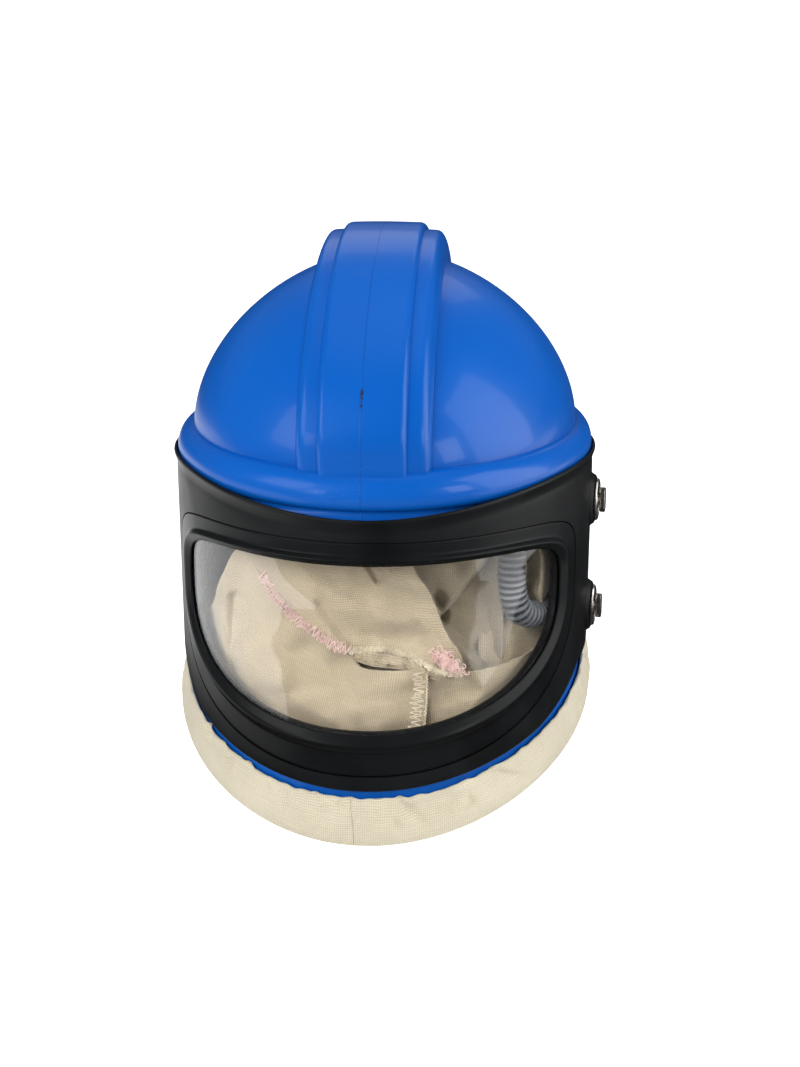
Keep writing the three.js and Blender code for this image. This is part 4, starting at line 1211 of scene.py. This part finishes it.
# %% Effect: scratches
scratches, source, sink = new_group(
    "thin_scratches",
    [("Place", "NodeSocketVector", (0, 0, 0)), ("Scale", "NodeSocketFloat", 30.0),
     ("Amount", "NodeSocketFloat", 0.5)],
    [("Mask", "NodeSocketFloat")])
w = Wiring(scratches)
total = 0.0
for tilt, stretch in ((0.4, (1, 14, 9)), (-0.9, (12, 1, 10)), (1.9, (9, 13, 1))):
    turned = {"Vector": source.outputs["Place"], "Rotation": (tilt, 0.5 * tilt, tilt), "Scale": stretch}
    streak = w.noise(w.node("ShaderNodeMapping", turned).outputs[0], source.outputs["Scale"], 2, 0.4)
    thin = w.ramp(w.absolute(w.minus(streak, 0.5)), 0.0, 0.006, 1.0, 0.0)
    patch = w.ramp(w.noise(source.outputs["Place"], 18.0 + 7 * tilt, 2), 0.56, 0.66)
    total = w.plus(total, w.times(thin, patch))
w.put(sink.inputs["Mask"], w.times(total, source.outputs["Amount"], clamp=True))
print("effect group:", scratches.name)

# %% Effect: plain weave
weave, source, sink = new_group(
    "plain_weave",
    [("Place", "NodeSocketVector", (0, 0, 0)), ("Thread", "NodeSocketFloat", 0.0008),
     ("Light", "NodeSocketColor", (0.7, 0.66, 0.54, 1)),
     ("Dark", "NodeSocketColor", (0.5, 0.46, 0.36, 1))],
    [("Colour", "NodeSocketColor"), ("Height", "NodeSocketFloat")])
w = Wiring(weave)
place = source.outputs["Place"]
wobble = w.noise(place, 260.0, 2)
parts = w.node("ShaderNodeSeparateXYZ", {0: place})
shift = w.times(w.minus(wobble, 0.5), 0.9)
across = w.plus(w.math("DIVIDE", parts.outputs[0], source.outputs["Thread"]), shift)
along = w.plus(w.math("DIVIDE", parts.outputs[1], source.outputs["Thread"]), shift)
warp = w.math("SINE", w.times(across, math.pi))
weft = w.math("SINE", w.times(along, math.pi))
over = w.ramp(w.times(warp, weft), -0.15, 0.15)
warp_hump, weft_hump = w.absolute(warp), w.absolute(weft)
under = w.minus(1.0, over)
height = w.plus(w.times(over, warp_hump), w.times(under, weft_hump))
slub = w.node("ShaderNodeMapping", {"Vector": place, "Scale": (60, 900, 1)})
slubs = w.noise(slub.outputs[0], 1.0, 2)
blotch = w.ramp(w.noise(place, 22.0, 4), 0.25, 0.75)
uneven = w.plus(w.times(slubs, 0.3), w.times(blotch, 0.2))
tone = w.plus(w.times(w.math("POWER", height, 1.6), 0.62), uneven, clamp=True)
w.put(sink.inputs["Colour"], w.mix(tone, source.outputs["Dark"], source.outputs["Light"]))
w.put(sink.inputs["Height"], w.plus(height, w.times(slubs, 0.6)))
print("effect group:", weave.name)


# %% Material helpers
def new_material(name, **plain):
    made = bpy.data.materials.new(name)
    made.use_nodes = True
    made.node_tree.nodes.clear()
    w = Wiring(made.node_tree)
    shader = w.node("ShaderNodeBsdfPrincipled")
    for key, value in plain.items():
        shader.inputs[key.replace("_", " ")].default_value = value
    output = w.node("ShaderNodeOutputMaterial", {"Surface": shader.outputs[0]})
    return made, w, shader, output


def use_group(w, tree, **inputs):
    made = w.node("ShaderNodeGroup", node_tree=tree)
    for key, value in inputs.items():
        w.put(made.inputs[key.replace("_", " ")], value)
    return made


def bump(w, shader, height, distance, strength=1.0):
    made = w.node("ShaderNodeBump", {"Height": height, "Distance": distance, "Strength": strength})
    w.put(shader.inputs["Normal"], made.outputs[0])


def object_place(w):
    return w.node("ShaderNodeTexCoord").outputs["Object"]


def surface_masks(w, patch_scale, grain_scale, scratch_scale=0, amount=0):
    """Patches, grain and, where a scale is given, scratches, on the object's own coordinates."""
    place = object_place(w)
    soft = use_group(w, variation, Place=place, Patch_Scale=patch_scale, Grain_Scale=grain_scale)
    masks = [soft.outputs["Patches"], soft.outputs["Grain"]]
    if scratch_scale:
        fine = use_group(w, scratches, Place=place, Scale=scratch_scale, Amount=amount)
        masks.append(fine.outputs["Mask"])
    return masks


def finish_with(piece, material):
    piece.data.materials.clear()
    piece.data.materials.append(material)


# %% [markdown]
# ## Blue moulded plastic
# The shell is glossy but not polished: its highlights are broad, with a brighter core. A thin
# line where the two halves of the mould met runs along the comb, and there is one small dark
# scuff beside it on the front. Both are masks on the object's own coordinates.

# %% Blue plastic
SEAM_X = float(placed([0, 0, 0])[0])
blue, w, shader, _ = new_material(
    "blue_moulded_plastic", Specular_IOR_Level=0.2, Coat_Roughness=0.08, Coat_IOR=1.5)
place = object_place(w)
parts = w.node("ShaderNodeSeparateXYZ", {0: place})
wander = w.times(w.minus(w.noise(place, 30.0, 2), 0.5), 0.0006)
from_seam = w.absolute(w.minus(w.minus(parts.outputs[0], SEAM_X), wander))
seam = w.times(w.ramp(from_seam, 0.0001, 0.00055, 1.0, 0.0), w.ramp(parts.outputs[2], 0.146, 0.15))
patches, grain, marks = surface_masks(w, 9.0, 700.0, 26.0, 0.5)
SCUFF_LOW, SCUFF_HIGH = 0.229, 0.2395
scuff_band = w.times(w.ramp(parts.outputs[2], SCUFF_LOW, SCUFF_LOW + 0.003),
                     w.ramp(parts.outputs[2], SCUFF_HIGH - 0.003, SCUFF_HIGH, 1.0, 0.0))
scuff_front = w.times(scuff_band, w.ramp(parts.outputs[1], -0.03, -0.06))
scuff_line = w.times(scuff_front, w.ramp(from_seam, 0.0004, 0.0013, 1.0, 0.0))
scuff = w.times(scuff_line, w.ramp(w.noise(place, 420.0, 4), 0.4, 0.5))
tone = w.mix(patches, (0.0005, 0.088, 0.42, 1), (0.001, 0.1, 0.47, 1))
tone = w.mix(w.times(seam, 0.5), tone, (0.003, 0.06, 0.33, 1))
tone = w.mix(w.times(marks, 0.25), tone, (0.12, 0.3, 0.75, 1))
w.put(shader.inputs["Base Color"], w.mix(scuff, tone, (0.015, 0.02, 0.06, 1)))
rough = w.plus(w.times(patches, 0.05), 0.31)
w.put(shader.inputs["Roughness"], w.plus(rough, w.times(w.plus(marks, scuff), 0.2)))
w.put(shader.inputs["Coat Weight"], w.ramp(patches, 0.0, 1.0, 0.2, 0.12))
relief = w.plus(w.times(grain, 0.12), w.times(seam, 0.9))
bump(w, shader, w.minus(relief, w.times(scuff, 0.8)), 0.00025, 0.7)
print("material:", blue.name)

# %% [markdown]
# ## Black rubber
# Frame and ring are satin black rubber. It is never quite even: paler where it was handled,
# with a fine mould grain and light dust.


# %% Black rubber
def rubber(name, dark, light, low, high):
    made, w, shader, _ = new_material(name, Specular_IOR_Level=0.16)
    patches, grain, marks = surface_masks(w, 24.0, 1300.0, 34.0, 0.6)
    worn = w.plus(w.times(patches, 0.7), w.times(marks, 0.5), clamp=True)
    w.put(shader.inputs["Base Color"], w.mix(worn, dark, light))
    w.put(shader.inputs["Roughness"], w.ramp(patches, 0.0, 1.0, low, high))
    bump(w, shader, grain, 0.00008, 0.6)
    return made


frame_rubber = rubber("black_frame_rubber", (0.005, 0.0055, 0.006, 1), (0.01, 0.011, 0.012, 1), 0.36, 0.46)
gasket_rubber = rubber("black_ring_rubber", (0.004, 0.0045, 0.005, 1), (0.008, 0.009, 0.01, 1), 0.3, 0.4)
print("materials:", frame_rubber.name, gasket_rubber.name)

# %% [markdown]
# ## Clear lens
# The sheet is clear plastic. Light for shadows passes straight through it, otherwise the inside
# of the hood would go black. Fine scratches roughen it a little.

# %% Clear sheet
clear, w, shader, output = new_material(
    "clear_lens_sheet", Base_Color=(0.985, 0.99, 0.99, 1), Transmission_Weight=1.0, IOR=1.45,
    Metallic=0.0)
patches, _, marks = surface_masks(w, 14.0, 300.0, 40.0, 0.8)
w.put(shader.inputs["Roughness"], w.plus(w.times(marks, 0.15), w.times(patches, 0.02)))
bump(w, shader, w.plus(marks, w.times(patches, 0.5)), 0.00003, 0.4)
through = w.node("ShaderNodeBsdfTransparent")
rays = w.node("ShaderNodeLightPath")
either = w.node("ShaderNodeMixShader", {
    0: rays.outputs["Is Shadow Ray"], 1: shader.outputs[0], 2: through.outputs[0]})
w.put(output.inputs["Surface"], either.outputs[0])
print("material:", clear.name)

# %% [markdown]
# ## Cotton canvas
# The weave is drawn from two sets of threads that pass over and under each other, on the
# cloth's own UV map, which holds real metres. Slubs and blotches keep it from looking printed.


# %% Canvas
def canvas_cloth(name, light, dark, thread=0.0012):
    made, w, shader, _ = new_material(name, Roughness=0.92, Sheen_Weight=0.25, Sheen_Roughness=0.5)
    place = w.node("ShaderNodeTexCoord").outputs["UV"]
    cloth = use_group(w, weave, Place=place, Thread=thread, Light=light, Dark=dark)
    w.put(shader.inputs["Base Color"], cloth.outputs["Colour"])
    bump(w, shader, cloth.outputs["Height"], 0.0003, 0.7)
    return made


canvas = canvas_cloth("cream_cotton_canvas", (0.8, 0.73, 0.57, 1), (0.42, 0.37, 0.26, 1))
canvas_inside = canvas_cloth("inner_cotton_canvas", (0.6, 0.5, 0.355, 1), (0.22, 0.175, 0.11, 1))
# a darker copy of the canvas: its lower colour is painted shade, for the cloth that hangs in shade behind
# the front panel
canvas_shaded = canvas_cloth("painted_shade_cotton_canvas", (0.44, 0.37, 0.265, 1), (0.2, 0.165, 0.115, 1))
print("materials:", canvas.name, canvas_inside.name, canvas_shaded.name)


# %% Thread
def thread(name, light, dark):
    made, w, shader, _ = new_material(name, Roughness=0.85, Sheen_Weight=0.4)
    patches, grain = surface_masks(w, 160.0, 2500.0)
    w.put(shader.inputs["Base Color"], w.mix(patches, dark, light))
    bump(w, shader, grain, 0.00008, 0.6)
    return made


cream_thread = thread("cream_thread", (0.74, 0.66, 0.5, 1), (0.55, 0.47, 0.34, 1))
pink_thread = thread("pink_thread", (0.82, 0.59, 0.54, 1), (0.64, 0.4, 0.37, 1))
print("materials:", cream_thread.name, pink_thread.name)


# %% [markdown]
# ## Grey and dark plastic, and steel
# The tube is matt grey plastic and the disc darker. The locks are nickel-plated steel with a
# brown-grey tarnish in patches.


# %% Small plastics
def small_plastic(name, dark, light, roughness):
    made, w, shader, _ = new_material(name)
    patches, grain = surface_masks(w, 60.0, 1500.0)
    w.put(shader.inputs["Base Color"], w.mix(patches, dark, light))
    w.put(shader.inputs["Roughness"], w.ramp(grain, 0.3, 0.7, roughness - 0.05, roughness + 0.07))
    bump(w, shader, grain, 0.00006, 0.5)
    return made


tube_plastic = small_plastic("grey_tube_plastic", (0.11, 0.118, 0.135, 1), (0.2, 0.21, 0.23, 1), 0.5)
disc_plastic = small_plastic("dark_disc_plastic", (0.03, 0.03, 0.04, 1), (0.06, 0.06, 0.075, 1), 0.45)

# %% [markdown]
# The rib tops are painted pale, a painted highlight, and the valleys dark, a painted shade, so the
# tube's colour follows the ribs along its own UV length.

# %% Painted light and shade on the ribs
w = Wiring(tube_plastic.node_tree)
shader = tube_plastic.node_tree.nodes["Principled BSDF"]
pale = shader.inputs["Base Color"].links[0].from_socket
run = w.node("ShaderNodeSeparateXYZ", {0: w.node("ShaderNodeTexCoord").outputs["UV"]}).outputs[1]
phase = w.times(w.minus(run, RIB_START), 2 * math.pi / RIB_STEP)
# painted highlight on the rib tops and painted shade in the valleys, following the rib phase
painted_rib_light = w.ramp(w.math("COSINE", phase), -0.3, 0.8)
w.put(shader.inputs["Base Color"], w.mix(painted_rib_light, (0.012, 0.013, 0.016, 1), pale))


# %% Steels
def steel(name, bright, tarnish, amount):
    made, w, shader, _ = new_material(name, Metallic=1.0)
    patches, grain, marks = surface_masks(w, 210.0, 2600.0, 160.0, 1.0)
    stain = w.times(patches, amount)
    w.put(shader.inputs["Base Color"], w.mix(stain, bright, tarnish))
    w.put(shader.inputs["Roughness"], w.plus(w.times(stain, 0.25), w.plus(w.times(marks, 0.2), 0.2)))
    bump(w, shader, w.plus(grain, marks), 0.00004, 0.6)
    return made


lock_steel = steel("plated_lock_steel", (0.68, 0.66, 0.62, 1), (0.25, 0.22, 0.18, 1), 0.55)
knob_steel = steel("worn_knob_steel", (0.5, 0.48, 0.45, 1), (0.08, 0.07, 0.06, 1), 0.8)
rivet_steel = steel("plain_rivet_steel", (0.45, 0.45, 0.45, 1), (0.2, 0.19, 0.18, 1), 0.5)
print("materials:", [m.name for m in (tube_plastic, disc_plastic, lock_steel, knob_steel, rivet_steel)])

# %% [markdown]
# ## Put each finish on its piece, and hide the engineering nodes it stands in for
# Each piece rides on a body of the engineering model, so it moves with it. Only the two knobs
# turn. The rest rides on the hood.

# %% Dress and ride
dressed = [
    (crown, blue, "shell_plastic", ["shell"]),
    (skirt, blue, "shell_plastic", ["shell"]),
    (window_frame, frame_rubber, "frame_rubber", ["window_frame"]),
    (gasket, gasket_rubber, "gasket_rubber", ["window_gasket"]),
    (lens, clear, "lens_clear", ["lens"]),
    (collar, canvas, "canvas", ["cape_collar"]),
    (cape_wall, canvas_inside, "canvas", ["cape_body"]),
    *[(panel, canvas_inside, "canvas", ["cape_body"])
      for panel in (front_panel, lower_panel, cross_panel, side_panel, upper_panel, strip)],
    (back_panel, canvas_shaded, "canvas", ["cape_body"]),
    (pink_stitches, pink_thread, "canvas", ["cape_body"]),
    (tuft, pink_thread, "canvas", ["cape_body"]),
    (cream_stitches, cream_thread, "canvas", ["cape_body"]),
    (fringe, cream_thread, "canvas", ["cape_body"]),
    (tube, tube_plastic, "tube_plastic", ["breathing_tube"]),
    (disc, disc_plastic, "disc_plastic", ["side_disc"]),
]
for level in LOCK_DROPS:
    dressed.append((plates[level], lock_steel, "lock_steel", [f"lock_{level}_plate"]))
    dressed.append((knobs[level], knob_steel, "knob_steel", [f"lock_{level}_knob"]))
    dressed.append((rivets[level], rivet_steel, "rivet_steel", [f"frame_rivet_{level}"]))
bodies = {knobs["upper"].name: "upper_knob", knobs["lower"].name: "lower_knob"}
for piece, material, slot, nodes in dressed:
    finish_with(piece, material)
    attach(piece, bodies.get(piece.name, "hood"))
    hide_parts(*nodes)
print("dressed", len(dressed), "pieces")

# %% [markdown]
# A canvas panel lies on its own drawn shape without stretch. The collar's cloth is measured on
# its built skin, and its area printed. The collar's flat size is an estimate, chosen near the
# area of its built cloth.

cloth = sum(face.area for face in collar.data.polygons) / 2
print("the collar's cloth measures", round(cloth, 4), "square metres")

# %% [markdown]
# ## Floor and light
# The hood stands on a plain pale floor in soft light. Low boxes at both sides make the soft
# patches on the crown, narrow strips further forward light the bead, and a light behind
# brightens the comb's top. The fill and the overhead light only add even light, so they are
# kept out of the reflections. In reflections the floor is dark, but for two glowing areas beside
# the hood, which show as veils in the lens.


# %% Floor
deselect_all()
bpy.ops.mesh.primitive_plane_add(size=40, location=(0, 0, 0))
floor = bpy.context.object
floor.name = "floor"
pale, w, shader, _ = new_material(
    "pale_floor", Roughness=0.9, Specular_IOR_Level=0.0, Emission_Color=(1, 1, 1, 1))
parts = w.node("ShaderNodeSeparateXYZ", {0: object_place(w)})
rays = w.node("ShaderNodeLightPath")
from_left = w.minus(w.times(parts.outputs[0], -0.37), w.times(parts.outputs[1], -0.93))
left_sheet = w.times(w.ramp(from_left, -0.235, -0.225), w.ramp(parts.outputs[0], -0.2, -0.15, 1.0, 0.0))
from_right = w.minus(parts.outputs[0], w.times(parts.outputs[1], 0.27))
ahead = w.plus(parts.outputs[1], w.times(parts.outputs[0], 0.7))
right_sheet = w.times(w.ramp(from_right, 0.445, 0.455), w.ramp(ahead, 0.0, 0.02))
near = w.times(w.ramp(w.absolute(parts.outputs[0]), 0.8, 1.0, 1.0, 0.0),
               w.ramp(parts.outputs[1], 0.3, 0.5, 1.0, 0.0))
sheets = w.times(w.math("MAXIMUM", left_sheet, right_sheet), near)
glossy = rays.outputs["Is Glossy Ray"]
w.put(shader.inputs["Base Color"], w.mix(glossy, (0.9, 0.9, 0.9, 1), (0.03, 0.03, 0.03, 1)))
glow = w.times(w.times(glossy, sheets), 1.4)
w.put(shader.inputs["Emission Strength"], w.plus(w.times(rays.outputs["Is Camera Ray"], 0.8), glow))
floor.data.materials.append(pale)


# %% Lights
def soft_light(name, place, aim, size, power, mirrored=True):
    data = bpy.data.lights.new(name, "AREA")
    data.shape, data.size, data.size_y = "RECTANGLE", size[0], size[1]
    data.energy = power
    light = bpy.data.objects.new(name, data)
    bpy.context.scene.collection.objects.link(light)
    light.location = place
    light.rotation_euler = (Vector(aim) - Vector(place)).to_track_quat("-Z", "Y").to_euler()
    light.visible_glossy = mirrored


world = bpy.data.worlds.new("studio")
world.use_nodes = True
world.node_tree.nodes["Background"].inputs[0].default_value = (1, 1, 1, 1)
w = Wiring(world.node_tree)
AROUND = 0.13  # light from all sides; seen directly, the backdrop is white
seen_directly = w.times(w.node("ShaderNodeLightPath").outputs["Is Camera Ray"], 1 - AROUND)
w.put(world.node_tree.nodes["Background"].inputs[1], w.plus(seen_directly, AROUND))
bpy.context.scene.world = world
bpy.context.scene.view_settings.view_transform = "Standard"
soft_light("left box", (-0.72, -0.5, 0.64), (0, -0.1, 0.25), (0.5, 0.5), 2.6)
soft_light("left strip", (-0.69, -1.06, 0.51), (0, -0.1, 0.18), (0.25, 0.4), 1.3)
soft_light("right box", (0.75, -0.08, 0.52), (0, -0.08, 0.5), (0.55, 0.95), 5.0)
soft_light("right strip", (0.99, -0.76, 0.5), (0, -0.1, 0.18), (0.3, 0.5), 2.3)
soft_light("back light", (0.0, 1.9, 1.1), (0, 0, 0.2), (1.6, 0.8), 4.0)
soft_light("overhead", (0.0, 0.4, 2.2), (0, 0, 0), (1.6, 1.6), 22, mirrored=False)
soft_light("front fill", (-0.7, -1.5, 1.5), (0, 0, 0.12), (1.0, 1.0), 23, mirrored=False)
print("lights:", len(bpy.data.lights))
